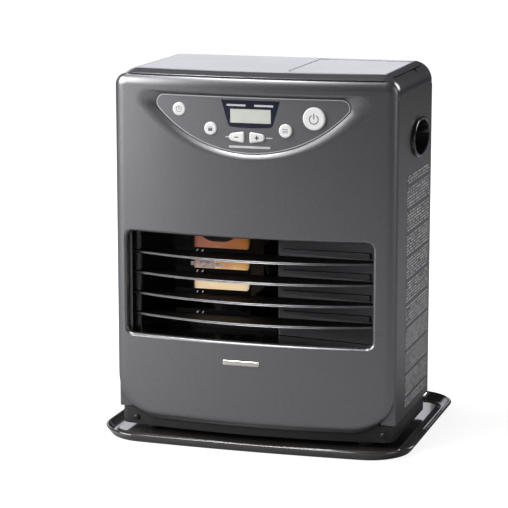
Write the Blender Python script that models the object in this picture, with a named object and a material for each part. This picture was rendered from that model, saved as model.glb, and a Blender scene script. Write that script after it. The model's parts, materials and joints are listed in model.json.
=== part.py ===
"""Kerosene fan heater: sheet cabinet in a drip tray, bowed front panel with a louvre and a control
plate, tank under a hinged lid, burner and fans inside. The frame has +X to the right, +Y to the rear
and +Z up, and its origin is the middle of the tray's underside. Sizes are in millimetres, and
mesh_object() turns them into metres."""

import math

import bmesh
import bpy
from mathutils import Matrix, Vector

MM = 0.001
GAP = 0.3  # between pieces that touch

# Drip tray, an oblong with a bowed front
TRAY_HALF = 185.5
TRAY_FRONT = -143.0
TRAY_REAR = 150.0
TRAY_BOW = 7.0
TRAY_CORNER = 52.0
TRAY_RIM_Z = 11.0
TRAY_FLOOR_Z = 3.0
PLATFORM_Z = 6.5
PLATFORM_HALF = 172.0
PLATFORM_FRONT = -119.0
PLATFORM_REAR = 112.0
PLATFORM_CORNER = 20.0

# Cabinet
BODY_HALF = 165.0
SIDE_FRONT = -108.3
BODY_REAR = 60.4
SHEET = 1.2
SIDE_FLANGE = 12.5
PAN_Z = 14.0
PAN_HALF = 162.5
PAN_FRONT = -107.5
PAN_REAR = 56.0
PAN_BOW = 14.5
PAN_TOP = 33.7
SIDE_Z = 34.0
SEAM_Z = 404.5
TOP_Z = 430.0
TOP_LEFT_RADIUS = 25.0
TOP_RIGHT_RADIUS = 22.0
REAR_PANEL_Y = 57.0
COVER_WALL = 2.0

# Front panel. It is built flat, and bow() then bends it forward about the middle by BOW.
BOW = 15.5
BOW_PARTS = 12
PANEL_Y = -115.0
PANEL_RIM_Y = -108.6
PANEL_LOW = 24.0
PANEL_TOP = 424.0
PANEL_SHEET = 1.6
PANEL_LOW_RADIUS = 50.0
PANEL_TOP_RADIUS = 14.0
EDGE_INSET = 12.0

# Louvre opening, a little left of the middle, and its four blades
LOUVRE_MID = -6.0
LOUVRE_HALF = 145.5
LOUVRE_LOW = 124.0
LOUVRE_TOP = 243.0
LOUVRE_RADIUS = 8.0
FRAME_WIDTH = 4.6
BLADES = 4
BLADE_HALF = 143.6
BLADE_Z = 143.8
BLADE_PITCH = 24.25
BLADE_FRONT = -127.0
BLADE_SAG = 27.0
BLADE_BACK = -82.0
BLADE_SHEET = 1.4

# Control plate in its recess: each is a disc's segment with the flat edge up and rounded tips
RECESS = {"radius": 192.0, "low": 331.5, "top": 408.0, "tip": 13.0}
PLATE = {"radius": 152.0, "low": 339.0, "top": 403.5, "tip": 10.0}
PLATE_Y = -111.5
PLATE_SHEET = 2.0
WINDOW_TOP = 399.0
WINDOW_LOW = 370.0
LCD_LOW = (-24.0, 373.5)
LCD_HIGH = (24.0, 390.0)

# Buttons: place on the plate, and radius. The two setting buttons are longer and taper outwards.
ROUND_BUTTONS = {
    "timer_button": (-84.4, 386.7, 7.8),
    "lock_button": (-46.6, 366.4, 7.5),
    "mode_button": (40.6, 366.8, 7.8),
    "power_button": (72.7, 381.2, 13.0),
}
TAPERED_BUTTONS = {"minus_button": (-15.5, 358.0, -1), "plus_button": (7.9, 358.0, 1)}
BUTTON_PROUD = 1.8
BUTTON_CLEARANCE = 0.35
STEM_RADIUS = 2.5
STEM_END_Y = -116.2

# Tank, its lid and the sump that it stands on
LID_LOW = (34.0, -100.0)
LID_HIGH = (156.0, 46.2)
LID_SHEET = 3.0
LID_AXIS_Y = 40.0
LID_AXIS_Z = 424.5
BARREL_RADIUS = 5.5
BARREL_ENDS = (43.0, 137.0)
TANK_LOW = (36.0, -58.0, 88.6)
TANK_HIGH = (140.0, 35.0, 388.5)
TANK_MID = (88.0, -11.5)
SUMP_TOP = 88.2
CAP_RADIUS = 22.0
WELL_RADIUS = 26.0

# Burner and duct
DUCT_LEFT = -156.5
FLOOR_Z = 117.5
FLOOR_SHEET = 1.8
DUCT_Z = FLOOR_Z + FLOOR_SHEET + GAP
GUIDE_TOP = 247.0
BURNER_MID = (-62.0, -11.0)
CHAMBER_LOW = (-99.0, -40.0, 158.0)
CHAMBER_HIGH = (-25.0, 18.0, 306.0)
CHAMBER_SHEET = 1.4

# Convection fan at the rear, combustion blower on the base pan
FAN_MID = (-45.0, 225.0)
FAN_HOLE = 68.0
FAN_RADIUS = 62.0
BLOWER_MID = (-118.0, 66.0)
BLOWER_RADIUS = 34.0
SHAFT_RADIUS = 2.8
SHAFT_BORE = 3.2

# Side grips: an oval cup through each side
GRIP_Y = -5.5
GRIP_Z = 350.0
GRIP_HOLE = (37.5, 20.0)

COLOURS = {
    "panel_paint": ((0.13, 0.13, 0.14), 0.35, 0.6),
    "cover_plastic": ((0.15, 0.15, 0.17), 0.3, 0.2),
    "side_paint": ((0.12, 0.12, 0.13), 0.4, 0.5),
    "tray_enamel": ((0.02, 0.017, 0.015), 0.15, 0.0),
    "black_paint": ((0.02, 0.02, 0.02), 0.4, 0.2),
    "rubber": ((0.02, 0.02, 0.02), 0.8, 0.0),
    "black_plastic": ((0.015, 0.015, 0.015), 0.4, 0.0),
    "plate_plastic": ((0.13, 0.13, 0.14), 0.4, 0.1),
    "window_plastic": ((0.01, 0.012, 0.03), 0.1, 0.0),
    "lcd_glass": ((0.55, 0.6, 0.52), 0.3, 0.0),
    "button_plastic": ((0.8, 0.8, 0.78), 0.4, 0.0),
    "badge_metal": ((0.7, 0.68, 0.6), 0.3, 1.0),
    "blade_steel": ((0.04, 0.04, 0.045), 0.25, 0.8),
    "guide_steel": ((0.1, 0.1, 0.105), 0.4, 0.7),
    "hot_steel": ((0.6, 0.33, 0.17), 0.35, 1.0),
    "bare_steel": ((0.5, 0.5, 0.5), 0.35, 1.0),
    "brass": ((0.6, 0.45, 0.2), 0.3, 1.0),
    "ceramic": ((0.8, 0.78, 0.72), 0.5, 0.0),
    "circuit_board": ((0.02, 0.15, 0.06), 0.5, 0.0),
    "tank_steel": ((0.55, 0.56, 0.56), 0.35, 1.0),
    "red_plastic": ((0.5, 0.03, 0.02), 0.4, 0.0),
}


# Outlines: lists of pairs, anticlockwise


def arc(centre, radius, start, end, steps):
    """Points on an arc from start to end in degrees, both included."""
    angles = [math.radians(start + (end - start) * i / steps) for i in range(steps + 1)]
    return [(centre[0] + radius * math.cos(a), centre[1] + radius * math.sin(a)) for a in angles]


def circle(centre, radius, steps=24):
    return arc(centre, radius, 0, 360, steps)[:-1]


def ellipse(centre, reach, steps=28):
    return [(centre[0] + reach[0] * x, centre[1] + reach[1] * y) for x, y in circle((0, 0), 1, steps)]


def rounded_rect(low, high, radii, steps=4):
    """The radii are those of the lower right, upper right, upper left and lower left corner."""
    corners = ((high[0], low[1]), high, (low[0], high[1]), low)
    inwards = ((-1, 1), (-1, -1), (1, -1), (1, 1))
    points = []
    for corner, inward, radius, start in zip(corners, inwards, radii, (-90, 0, 90, 180)):
        centre = (corner[0] + inward[0] * radius, corner[1] + inward[1] * radius)
        points += arc(centre, radius, start, start + 90, steps)
    return points


def plan_outline(half, front, rear, radius, sag, steps=6, parts=8):
    """A rounded oblong seen from above, whose front edge bows forward by sag."""
    run = half - radius
    points = rounded_rect((-half, front), (half, rear), (radius,) * 4, steps)
    points += [(-run + 2 * run * i / parts, front) for i in range(1, parts)]
    shares = [(rear - y) / (rear - front) for _, y in points]
    return [(x, y - sag * share * (1 - (x / half) ** 2)) for (x, y), share in zip(points, shares)]


def segment(radius, low, top, tip, inset=0.0, tip_steps=5, low_steps=16):
    """A disc's segment with its flat edge up and rounded tips."""
    centre = low + radius
    radius -= inset
    tip -= inset
    tip_z = top - inset - tip
    tip_x = math.sqrt((radius - tip) ** 2 - (centre - tip_z) ** 2)
    slope = math.degrees(math.atan2(centre - tip_z, tip_x))
    points = arc((tip_x, tip_z), tip, -slope, 90, tip_steps)
    points += arc((-tip_x, tip_z), tip, 90, 180 + slope, tip_steps)
    return points + arc((0, centre), radius, 180 + slope, 360 - slope, low_steps)[1:-1]


def strip(path, thickness):
    """A bent strip: the path, and back along the path moved to its left."""
    moved = []
    for i, point in enumerate(path):
        near = path[max(i - 1, 0) : i + 2]
        normals = [
            ((a[1] - b[1]) / math.dist(a, b), (b[0] - a[0]) / math.dist(a, b)) for a, b in zip(near, near[1:])
        ]
        first, last = normals[0], normals[-1]
        scale = thickness / (1 + first[0] * last[0] + first[1] * last[1])
        moved.append((point[0] + scale * (first[0] + last[0]), point[1] + scale * (first[1] + last[1])))
    return list(path) + moved[::-1]


# A ring is an outline placed in space


def at_x(outline, x):
    return [(x, y, z) for y, z in outline]


def at_y(outline, y):
    return [(x, y, z) for x, z in outline]


def at_z(outline, z):
    return [(x, y, z) for x, y in outline]


# Solids


def material(name):
    if name not in bpy.data.materials:
        colour, roughness, metallic = COLOURS[name]
        made = bpy.data.materials.new(name)
        made.use_nodes = True
        shader = made.node_tree.nodes["Principled BSDF"]
        shader.inputs["Base Color"].default_value = (*colour, 1)
        shader.inputs["Roughness"].default_value = roughness
        shader.inputs["Metallic"].default_value = metallic
    return bpy.data.materials[name]


def mesh_object(name, finish, bm):
    """Puts a mesh that was built in millimetres into the scene."""
    bmesh.ops.scale(bm, vec=(MM, MM, MM), verts=bm.verts)
    bmesh.ops.recalc_face_normals(bm, faces=bm.faces)
    mesh = bpy.data.meshes.new(name)
    bm.to_mesh(mesh)
    bm.free()
    mesh.materials.append(material(finish))
    made = bpy.data.objects.new(name, mesh)
    bpy.context.scene.collection.objects.link(made)
    return made


def loft(name, finish, rings, closed=False):
    """A skin over rings of equal length. The end rings are filled, or joined to each other when closed."""
    bm = bmesh.new()
    rows = [[bm.verts.new(point) for point in ring] for ring in rings]
    pairs = list(zip(rows, rows[1:]))
    if closed:
        pairs.append((rows[-1], rows[0]))
    else:
        bm.faces.new(rows[0])
        bm.faces.new(rows[-1][::-1])
    for low, high in pairs:
        for i, corner in enumerate(low):
            bm.faces.new((corner, high[i], high[i - 1], low[i - 1]))
    return mesh_object(name, finish, bm)


def block(name, finish, low, high):
    outline = [(low[0], low[1]), (high[0], low[1]), (high[0], high[1]), (low[0], high[1])]
    return loft(name, finish, [at_z(outline, low[2]), at_z(outline, high[2])])


def rod(name, finish, axis, centre, profile, steps=24, closed=False):
    """A turned piece: the profile's pairs are a place along the axis and a radius there.

    The centre is the pair of the two other coordinates, in X, Y, Z order."""
    place = {"x": at_x, "y": at_y, "z": at_z}[axis]
    rings = [place(circle(centre, radius, steps), along) for along, radius in profile]
    return loft(name, finish, rings, closed)


def boolean(body, tool, operation):
    """Changes body by tool, and removes tool."""
    modifier = body.modifiers.new(operation, "BOOLEAN")
    modifier.operation = operation
    modifier.object = tool
    graph = bpy.context.evaluated_depsgraph_get()
    changed = bpy.data.meshes.new_from_object(body.evaluated_get(graph))
    body.modifiers.clear()
    body.data = changed
    bpy.data.objects.remove(tool)
    return body


def cut(body, tool):
    return boolean(body, tool, "DIFFERENCE")


def join(body, tool):
    return boolean(body, tool, "UNION")


def bow_at(x):
    """How far the front stands forward at x, straight between evenly spaced stations."""
    step = 2 * BODY_HALF / BOW_PARTS
    place = min(max((x + BODY_HALF) / step, 0), BOW_PARTS - 1e-6)
    low = -BODY_HALF + step * math.floor(place)
    depths = [BOW * (1 - (end / BODY_HALF) ** 2) for end in (low, low + step)]
    return depths[0] + (depths[1] - depths[0]) * (place - math.floor(place))


def bow(body, fade=None):
    """Bends a piece forward like the front.

    With fade, a pair of y, the bend eases off from the first to the last."""
    bm = bmesh.new()
    bm.from_mesh(body.data)
    for i in range(1, BOW_PARTS):
        station = MM * BODY_HALF * (2 * i / BOW_PARTS - 1)
        everything = bm.verts[:] + bm.edges[:] + bm.faces[:]
        bmesh.ops.bisect_plane(bm, geom=everything, dist=1e-7, plane_co=(station, 0, 0), plane_no=(1, 0, 0))
    for vert in bm.verts:
        share = 1.0
        if fade:
            share = min(max((fade[1] - vert.co.y / MM) / (fade[1] - fade[0]), 0), 1)
        vert.co.y -= MM * share * bow_at(vert.co.x / MM)
    bm.to_mesh(body.data)
    bm.free()
    return body


def move_origin(body, place):
    """Puts the origin of a moving piece on its joint's axis and leaves the shape where it is."""
    body.data.transform(Matrix.Translation(Vector(place) * -MM))
    body.location = Vector(place) * MM
    return body


# Tray, base and cabinet


def drip_tray():
    """A pan with a rolled rim and a raised platform under the cabinet."""

    def ring(inset, z):
        half, corner = TRAY_HALF - inset, TRAY_CORNER - inset
        return at_z(plan_outline(half, TRAY_FRONT + inset, TRAY_REAR - inset, corner, TRAY_BOW), z)

    def platform(inset, z):
        half, corner = PLATFORM_HALF - inset, PLATFORM_CORNER - inset
        return at_z(plan_outline(half, PLATFORM_FRONT + inset, PLATFORM_REAR - inset, corner, BOW), z)

    rings = [ring(9, 0), ring(6, 2), ring(0, TRAY_RIM_Z - 2), ring(0.6, TRAY_RIM_Z)]
    rings += [ring(4, TRAY_RIM_Z), ring(9, TRAY_FLOOR_Z + 2), ring(12, TRAY_FLOOR_Z)]
    rings += [platform(0, TRAY_FLOOR_Z), platform(4, PLATFORM_Z)]
    tray = loft("drip_tray", "tray_enamel", rings)
    return cut(tray, loft("underside", "tray_enamel", [platform(5, -1), platform(5, PLATFORM_Z - 2)]))


def base_pan():
    """An open sheet pan with its front wall bowed like the panel."""

    def ring(inset, z):
        reach = (PAN_HALF - inset, PAN_FRONT + inset, PAN_REAR - inset)
        return at_z(plan_outline(*reach, 8 - inset, PAN_BOW, 3, 10), z)

    rings = [ring(SHEET, PAN_Z + SHEET), ring(SHEET, PAN_TOP), ring(0, PAN_TOP), ring(0, PAN_Z)]
    return loft("base_pan", "black_paint", rings)


def feet():
    for name, x, y in (
        ("foot_front_left", -128, -92),
        ("foot_front_right", 128, -92),
        ("foot_rear_left", -128, 34),
        ("foot_rear_right", 128, 34),
    ):
        profile = [(PLATFORM_Z + GAP, 9), (PLATFORM_Z + 2, 10), (PAN_Z - GAP, 10)]
        rod(name, "rubber", "z", (x, y), profile, 16)


def chassis_screws():
    for name, x, z in (("chassis_screw_left", -143, 22), ("chassis_screw_right", 152, 23)):
        face = PAN_FRONT - 1 - PAN_BOW * (1 - (x / PAN_HALF) ** 2)
        rod(name, "black_paint", "y", (x, z), [(face, 3.4), (face - 1.2, 3.2), (face - 2, 2)], 12)


def cabinet_side(name, side):
    """A bent sheet with a flange behind the front panel's edge, and an oval hole for the grip."""
    reach = BODY_HALF * side
    path = [(reach - SIDE_FLANGE * side, SIDE_FRONT), (reach, SIDE_FRONT), (reach, BODY_REAR)]
    outline = strip(path, SHEET * side)
    body = loft(name, "side_paint", [at_z(outline, SIDE_Z), at_z(outline, SEAM_Z - GAP)])
    hole = ellipse((GRIP_Y, GRIP_Z), GRIP_HOLE)
    return cut(body, loft("hole", "side_paint", [at_x(hole, reach - 5), at_x(hole, reach + 5)]))


def side_grip(name, side):
    """A cup pushed in through the side, with a lip outside."""
    reach = BODY_HALF
    y, z = GRIP_HOLE
    sizes = [(reach - 24, y - 5, z - 5), (reach - 20, y - 1.5, z - 1.5), (reach + GAP, y - 0.5, z - 0.5)]
    sizes += [(reach + GAP, y + 3.5, z + 3.5), (reach + 2.5, y + 3.5, z + 3.5), (reach + 4, y + 1.5, z + 1.5)]
    sizes += [(reach + 3.5, y - 1, z - 1), (reach - 18, y - 4, z - 4), (reach - 22, y - 7, z - 7)]
    rings = [at_x(ellipse((GRIP_Y, GRIP_Z), (a, b)), x * side) for x, a, b in sizes]
    return loft(name, "black_plastic", rings)


def rear_panel():
    body = block(
        "rear_panel",
        "side_paint",
        (-BODY_HALF + SHEET + GAP, REAR_PANEL_Y, SIDE_Z),
        (BODY_HALF - SHEET - GAP, REAR_PANEL_Y + SHEET, SEAM_Z - GAP),
    )
    holes = [circle(FAN_MID, FAN_HOLE, 32), circle((-140, 60), 8, 16)]
    holes += [rounded_rect((x, 345), (x + 8, 385), (3.5,) * 4, 3) for x in range(-120, 121, 40)]
    for hole in holes:
        cut(body, loft("hole", "side_paint", [at_y(hole, 50), at_y(hole, 70)]))
    return body


def top_profile(inset, low=SEAM_Z):
    radii = (0.4, TOP_RIGHT_RADIUS - inset, TOP_LEFT_RADIUS - inset, 0.4)
    return rounded_rect((-BODY_HALF + inset, low), (BODY_HALF - inset, TOP_Z - inset), radii, 5)


def top_cover():
    rings = [(5, -112), (1.5, -110.3), (0, -106), (0, BODY_REAR - 3), (3, BODY_REAR)]
    body = loft("top_cover", "cover_plastic", [at_y(top_profile(inset), y) for inset, y in rings])
    hollow = top_profile(COVER_WALL, SEAM_Z - 20)
    cut(body, loft("hollow", "cover_plastic", [at_y(hollow, -108), at_y(hollow, BODY_REAR - 2)]))
    cut(body, block("step", "cover_plastic", (-200, -150, SEAM_Z - 20), (200, -107.9, PANEL_TOP + GAP)))
    bow(body, (-100, -20))
    opening = rounded_rect(LID_LOW, LID_HIGH, (7, 1, 1, 7), 4)
    cut(body, loft("opening", "cover_plastic", [at_z(opening, 412), at_z(opening, 440)]))
    notch = circle((LID_HIGH[0], 5), 4.5, 12)
    return cut(body, loft("notch", "cover_plastic", [at_z(notch, 412), at_z(notch, 440)]))


# Front


def panel_ring(inset, y):
    low, top = PANEL_LOW_RADIUS, PANEL_TOP_RADIUS
    radii = [max(radius - inset, 1.5) for radius in (low, top, top, low)]
    outline = rounded_rect(
        (-BODY_HALF + inset, PANEL_LOW + inset), (BODY_HALF - inset, PANEL_TOP - inset), radii, 5
    )
    return at_y(outline, y)


def front_panel():
    """A shallow pan with round edges, a framed louvre opening and a pierced recess for the control plate."""
    edge_y = PANEL_RIM_Y - 0.6
    sheet = PANEL_SHEET
    rings = []
    for angle in (90, 60, 30, 0):
        turn = math.radians(angle)
        inset = EDGE_INSET * (1 - math.cos(turn))
        rings.append(panel_ring(inset, edge_y - (edge_y - PANEL_Y) * math.sin(turn)))
    rings += [panel_ring(0, PANEL_RIM_Y), panel_ring(sheet, PANEL_RIM_Y)]
    rings += [panel_ring(sheet + 2, PANEL_Y + sheet + 2), panel_ring(EDGE_INSET + 1, PANEL_Y + sheet)]
    body = loft("front_panel", "panel_paint", rings)

    back_y = PANEL_Y + 0.8
    for outline, y in ((louvre_outline(FRAME_WIDTH + 1), PANEL_RIM_Y), (segment(**RECESS, inset=-1.2), -109)):
        join(body, loft("collar", "panel_paint", [at_y(outline, back_y), at_y(outline, y)]))
    opening = [at_y(louvre_outline(FRAME_WIDTH), PANEL_Y - 0.1), at_y(louvre_outline(0), PANEL_Y + 4)]
    cut(body, loft("opening", "panel_paint", opening + [at_y(louvre_outline(0), -100)]))
    hole = segment(**PLATE, inset=-0.35)
    pocket = [at_y(segment(**RECESS), PANEL_Y - 0.1), at_y(hole, PLATE_Y + 0.2), at_y(hole, -100)]
    cut(body, loft("pocket", "panel_paint", pocket))
    return bow(body)


def louvre_outline(outset):
    low = (LOUVRE_MID - LOUVRE_HALF - outset, LOUVRE_LOW - outset)
    high = (LOUVRE_MID + LOUVRE_HALF + outset, LOUVRE_TOP + outset)
    return rounded_rect(low, high, (LOUVRE_RADIUS + outset / 2,) * 4, 4)


def front_badge():
    outline = rounded_rect((-32, 97), (11.5, 102.5), (1.5,) * 4, 3)
    rings = [at_y(outline, PANEL_Y - 1.5), at_y(outline, PANEL_Y - GAP)]
    return bow(loft("front_badge", "badge_metal", rings))


def button_outline(name, outset=0.0):
    """A button's outline about its own middle."""
    if name in ROUND_BUTTONS:
        return circle((0, 0), ROUND_BUTTONS[name][2] + outset, 20)
    outer = arc((-4.6, 0), 4.6 + outset, 110, 250, 6)
    inner = arc((6.4, -4.0), 2.4 + outset, 270, 360, 3) + arc((6.4, 4.0), 2.4 + outset, 0, 90, 3)
    points = outer + inner
    if TAPERED_BUTTONS[name][2] < 0:
        return points
    return [(-x, z) for x, z in points[::-1]]


def control_plate():
    outline = segment(**PLATE)
    back_y = PLATE_Y + PLATE_SHEET
    body = loft("control_plate", "plate_plastic", [at_y(outline, PLATE_Y), at_y(outline, back_y)])
    holes = [window_outline(GAP)]
    for name, (x, z, _) in {**ROUND_BUTTONS, **TAPERED_BUTTONS}.items():
        holes.append([(x + dx, z + dz) for dx, dz in button_outline(name, BUTTON_CLEARANCE)])
    for hole in holes:
        cut(body, loft("hole", "plate_plastic", [at_y(hole, PLATE_Y - 5), at_y(hole, back_y + 5)]))
    return bow(body)


def window_outline(outset):
    """A trapezium, wide at the top, whose lower edge sags a little."""
    low, top = WINDOW_LOW - outset, WINDOW_TOP + outset
    low_x, top_x = 25 + outset, 33.8 + outset
    return [(-low_x, low), (0, low - 1.2), (low_x, low), (top_x, top), (-top_x, top)]


def display_window():
    outline = window_outline(0)
    rings = [at_y(outline, PLATE_Y - 0.3), at_y(outline, PLATE_Y + PLATE_SHEET)]
    body = loft("display_window", "window_plastic", rings)
    hole = rounded_rect(LCD_LOW, LCD_HIGH, (0.5,) * 4, 1)
    return bow(cut(body, loft("hole", "window_plastic", [at_y(hole, -120), at_y(hole, -100)])))


def lcd_panel():
    low = (LCD_LOW[0] + GAP, LCD_LOW[1] + GAP)
    high = (LCD_HIGH[0] - GAP, LCD_HIGH[1] - GAP)
    outline = rounded_rect(low, high, (0.5,) * 4, 1)
    return bow(loft("lcd_panel", "lcd_glass", [at_y(outline, PLATE_Y + 0.2), at_y(outline, PLATE_Y + 3)]))


def buttons():
    """Each has a cap in the plate's hole and a stem towards the circuit board."""
    for name, (x, z, _) in {**ROUND_BUTTONS, **TAPERED_BUTTONS}.items():
        face = PLATE_Y - BUTTON_PROUD - bow_at(x)
        back = face + BUTTON_PROUD + PLATE_SHEET + 1
        cap = button_outline(name)
        turns = [math.atan2(dz, dx) for dx, dz in cap]
        stem = [(STEM_RADIUS * math.cos(turn), STEM_RADIUS * math.sin(turn)) for turn in turns]
        outlines = [(button_outline(name, -0.8), face), (cap, face + 0.8), (cap, back)]
        outlines += [(stem, back), (stem, STEM_END_Y)]
        rings = [at_y([(x + dx, z + dz) for dx, dz in outline], y) for outline, y in outlines]
        move_origin(loft(name, "button_plastic", rings), (x, face, z))


# Louvre and duct


def louvre_blades():
    """Flat plates with a bowed front edge and a straight rear edge."""
    for i in range(BLADES):
        shares = [2 * k / 14 - 1 for k in range(15)]
        outline = [(LOUVRE_MID + BLADE_HALF * t, BLADE_FRONT + BLADE_SAG * t * t) for t in shares]
        outline += [(LOUVRE_MID + BLADE_HALF * t, BLADE_BACK) for t in (1, -1)]
        z = BLADE_Z + BLADE_PITCH * i
        rings = [at_z(outline, z - BLADE_SHEET / 2), at_z(outline, z + BLADE_SHEET / 2)]
        loft(f"louver_blade_{i + 1}", "blade_steel", rings)


def louver_bracket():
    right = LOUVRE_MID - BLADE_HALF - 0.7
    block("louver_bracket", "blade_steel", (right - 4.7, -104.0, DUCT_Z), (right, -79.0, GUIDE_TOP))


def air_guide():
    """One bent sheet: right-hand blade bracket, slant in front of the tank, and the duct's right wall."""
    right = LOUVRE_MID + BLADE_HALF + 0.7
    path = [(right, -104.0), (right, -80.5), (13.0, -62.0), (13.0, 52.0)]
    outline = strip(path, -SHEET)
    return loft("air_guide", "guide_steel", [at_z(outline, DUCT_Z), at_z(outline, GUIDE_TOP)])


def duct_floor():
    """A plate under the louvre and the burner, cut away for the tank and drilled for the fuel pipe."""
    front, left, right = -106.5, SIDE_FLANGE + GAP - BODY_HALF, 144.0
    stations = [left + (right - left) * k / 10 for k in range(11)]
    outline = [(x, front - bow_at(x)) for x in stations]
    outline += [(right, -77), (17, -59.5), (17, 54), (DUCT_LEFT, 54), (DUCT_LEFT, front), (left, front)]
    rings = [at_z(outline, FLOOR_Z), at_z(outline, FLOOR_Z + FLOOR_SHEET)]
    body = loft("duct_floor", "black_paint", rings)
    return cut(body, rod("hole", "black_paint", "z", BURNER_MID, [(100, 5), (130, 5)], 16))


def heat_shield():
    """The duct's left wall and roof."""
    outline = strip([(DUCT_LEFT, DUCT_Z), (DUCT_LEFT, 312.0), (11.0, 312.0)], -SHEET)
    return loft("heat_shield", "guide_steel", [at_y(outline, -104), at_y(outline, 52)])


# Burner


def combustion_chamber():
    """A square steel flue, open below and above, with a round sight hole in front."""
    low, high = CHAMBER_LOW, CHAMBER_HIGH

    def ring(inset, z):
        near, far = (low[0] + inset, low[1] + inset), (high[0] - inset, high[1] - inset)
        return at_z(rounded_rect(near, far, (9 - inset,) * 4, 3), z)

    sheet = CHAMBER_SHEET
    rings = [ring(0, low[2]), ring(0, high[2]), ring(sheet, high[2]), ring(sheet, low[2])]
    body = loft("combustion_chamber", "hot_steel", rings, closed=True)
    hole = [(low[1] - 5, 27), (low[1] + 5, 27)]
    return cut(body, rod("hole", "hot_steel", "y", (BURNER_MID[0], 262), hole))


def burner():
    pot = [(DUCT_Z, 24), (126, 30), (146, 30), (146, 35), (150, 35), (150, 22), (132, 20)]
    rod("burner_pot", "bare_steel", "z", BURNER_MID, pot)
    ring = [(150 + GAP, 27), (166, 27), (166, 24), (150 + GAP, 24)]
    rod("flame_ring", "hot_steel", "z", BURNER_MID, ring, closed=True)
    rod("igniter", "ceramic", "z", (-92.3, -11), [(150 + GAP, 2.6), (168, 2.6), (168, 1.4), (180, 1.4)], 12)
    sensor = [(-97, 2.4), (-86, 2.4), (-86, 4.6), (-68, 4.6), (-68, 2.4), (-58, 2.4)]
    rod("flame_sensor", "ceramic", "x", (-46, 195), sensor, 16)


# Fuel


def fuel_parts():
    low = (TANK_LOW[0] + 4, TANK_LOW[1] + 2)
    high = (TANK_HIGH[0] - 4, TANK_HIGH[1] - 2)
    outline = rounded_rect(low, high, (6,) * 4, 3)
    sump = loft("fuel_sump", "black_plastic", [at_z(outline, PAN_Z + SHEET + GAP), at_z(outline, SUMP_TOP)])
    cut(sump, rod("well", "black_plastic", "z", TANK_MID, [(66, WELL_RADIUS), (100, WELL_RADIUS)]))
    pump = [(PAN_Z + SHEET + GAP, 13), (50, 13), (52, 9), (78, 9), (80, 4), (84, 4)]
    rod("fuel_pump", "bare_steel", "z", (8, -30), pump, 20)
    path = [(8, -30, 84.4), (8, -30, 94), (5, -28, 98), (-30, -20, 100)]
    path += [(-56, -12.4, 101), (-61, -11.3, 104), (-62, -11, 109), (-62, -11, 119)]
    curve = bpy.data.curves.new("fuel_pipe", "CURVE")
    curve.dimensions = "3D"
    curve.bevel_depth = 2.4 * MM
    curve.bevel_resolution = 2
    curve.use_fill_caps = True
    spline = curve.splines.new("POLY")
    spline.points.add(len(path) - 1)
    for point, place in zip(spline.points, path):
        point.co = (*(Vector(place) * MM), 1)
    curve.materials.append(material("brass"))
    bpy.context.scene.collection.objects.link(bpy.data.objects.new("fuel_pipe", curve))


def fuel_tank():
    """The tank stands upside down on its cap, and its empty marks where it lifts."""
    low, high = TANK_LOW, TANK_HIGH

    def ring(inset, z):
        near, far = (low[0] + inset, low[1] + inset), (high[0] - inset, high[1] - inset)
        return at_z(rounded_rect(near, far, (12 - inset,) * 4, 4), z)

    def skin(name, inset):
        ends = (low[2] + inset, high[2] - inset)
        rings = [ring(inset + 4, ends[0]), ring(inset, ends[0] + 4), ring(inset, ends[1] - 4)]
        return loft(name, "tank_steel", rings + [ring(inset + 4, ends[1])])

    tank = cut(skin("fuel_tank", 0), skin("hollow", 1))
    cut(tank, rod("neck", "tank_steel", "z", TANK_MID, [(low[2] - 5, 16), (low[2] + 3, 16)], 20))
    foot = high[2] + GAP
    mid = TANK_MID
    arch = strip([(-30, foot), (-30, foot + 26), (30, foot + 26), (30, foot)], -9)
    outline = [(mid[0] + x, z) for x, z in arch]
    handle = loft("tank_handle", "red_plastic", [at_y(outline, mid[1] - 9), at_y(outline, mid[1] + 9)])
    ridges, valleys = circle(mid, CAP_RADIUS, 32), circle(mid, CAP_RADIUS - 1, 32)
    side = [(ridges, valleys)[k % 2][k] for k in range(32)]
    top = circle(mid, CAP_RADIUS - 3, 32)
    rings = [at_z(top, 70), at_z(side, 72), at_z(side, 84), at_z(top, 84), at_z(top, low[2] - GAP)]
    cap = loft("tank_cap", "black_plastic", rings)
    lift = bpy.data.objects.new("tank_lift_origin", None)
    lift.location = Vector((*mid, low[2])) * MM
    bpy.context.scene.collection.objects.link(lift)
    for piece in (tank, handle, cap):
        move_origin(piece, (*mid, low[2]))
        piece.parent = lift
        piece.location = (0, 0, 0)


def tank_lid():
    """A curved plate with a hinge barrel along its rear edge."""
    centre = BODY_HALF - TOP_RIGHT_RADIUS
    turn = math.degrees(math.acos((LID_HIGH[0] - 0.4 - centre) / TOP_RIGHT_RADIUS))
    edge = arc((centre, TOP_Z - TOP_RIGHT_RADIUS), TOP_RIGHT_RADIUS, turn, 90, 4)
    under = arc((centre, TOP_Z - TOP_RIGHT_RADIUS), TOP_RIGHT_RADIUS - LID_SHEET, 90, turn, 4)
    left = LID_LOW[0] + 0.4
    profile = edge + [(left, TOP_Z), (left, TOP_Z - LID_SHEET)] + under
    front = LID_LOW[1] + 0.4
    body = loft("tank_lid", "cover_plastic", [at_y(profile, front), at_y(profile, LID_AXIS_Y)])
    plan = rounded_rect((left, front), (LID_HIGH[0] - 0.4, LID_AXIS_Y + 20), (6.6, 1, 1, 6.6), 4)
    boolean(body, loft("plan", "cover_plastic", [at_z(plan, 400), at_z(plan, 440)]), "INTERSECT")
    axis = (LID_AXIS_Y, LID_AXIS_Z)
    first, last = BARREL_ENDS
    join(body, rod("barrel", "cover_plastic", "x", axis, [(first, BARREL_RADIUS), (last, BARREL_RADIUS)], 20))
    for low, high in ((first - 5, first + 8), (last - 8, last + 5)):
        cut(body, rod("bore", "cover_plastic", "x", axis, [(low, 1.9), (high, 1.9)], 12))
    return move_origin(body, ((first + last) / 2, LID_AXIS_Y, LID_AXIS_Z))


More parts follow.
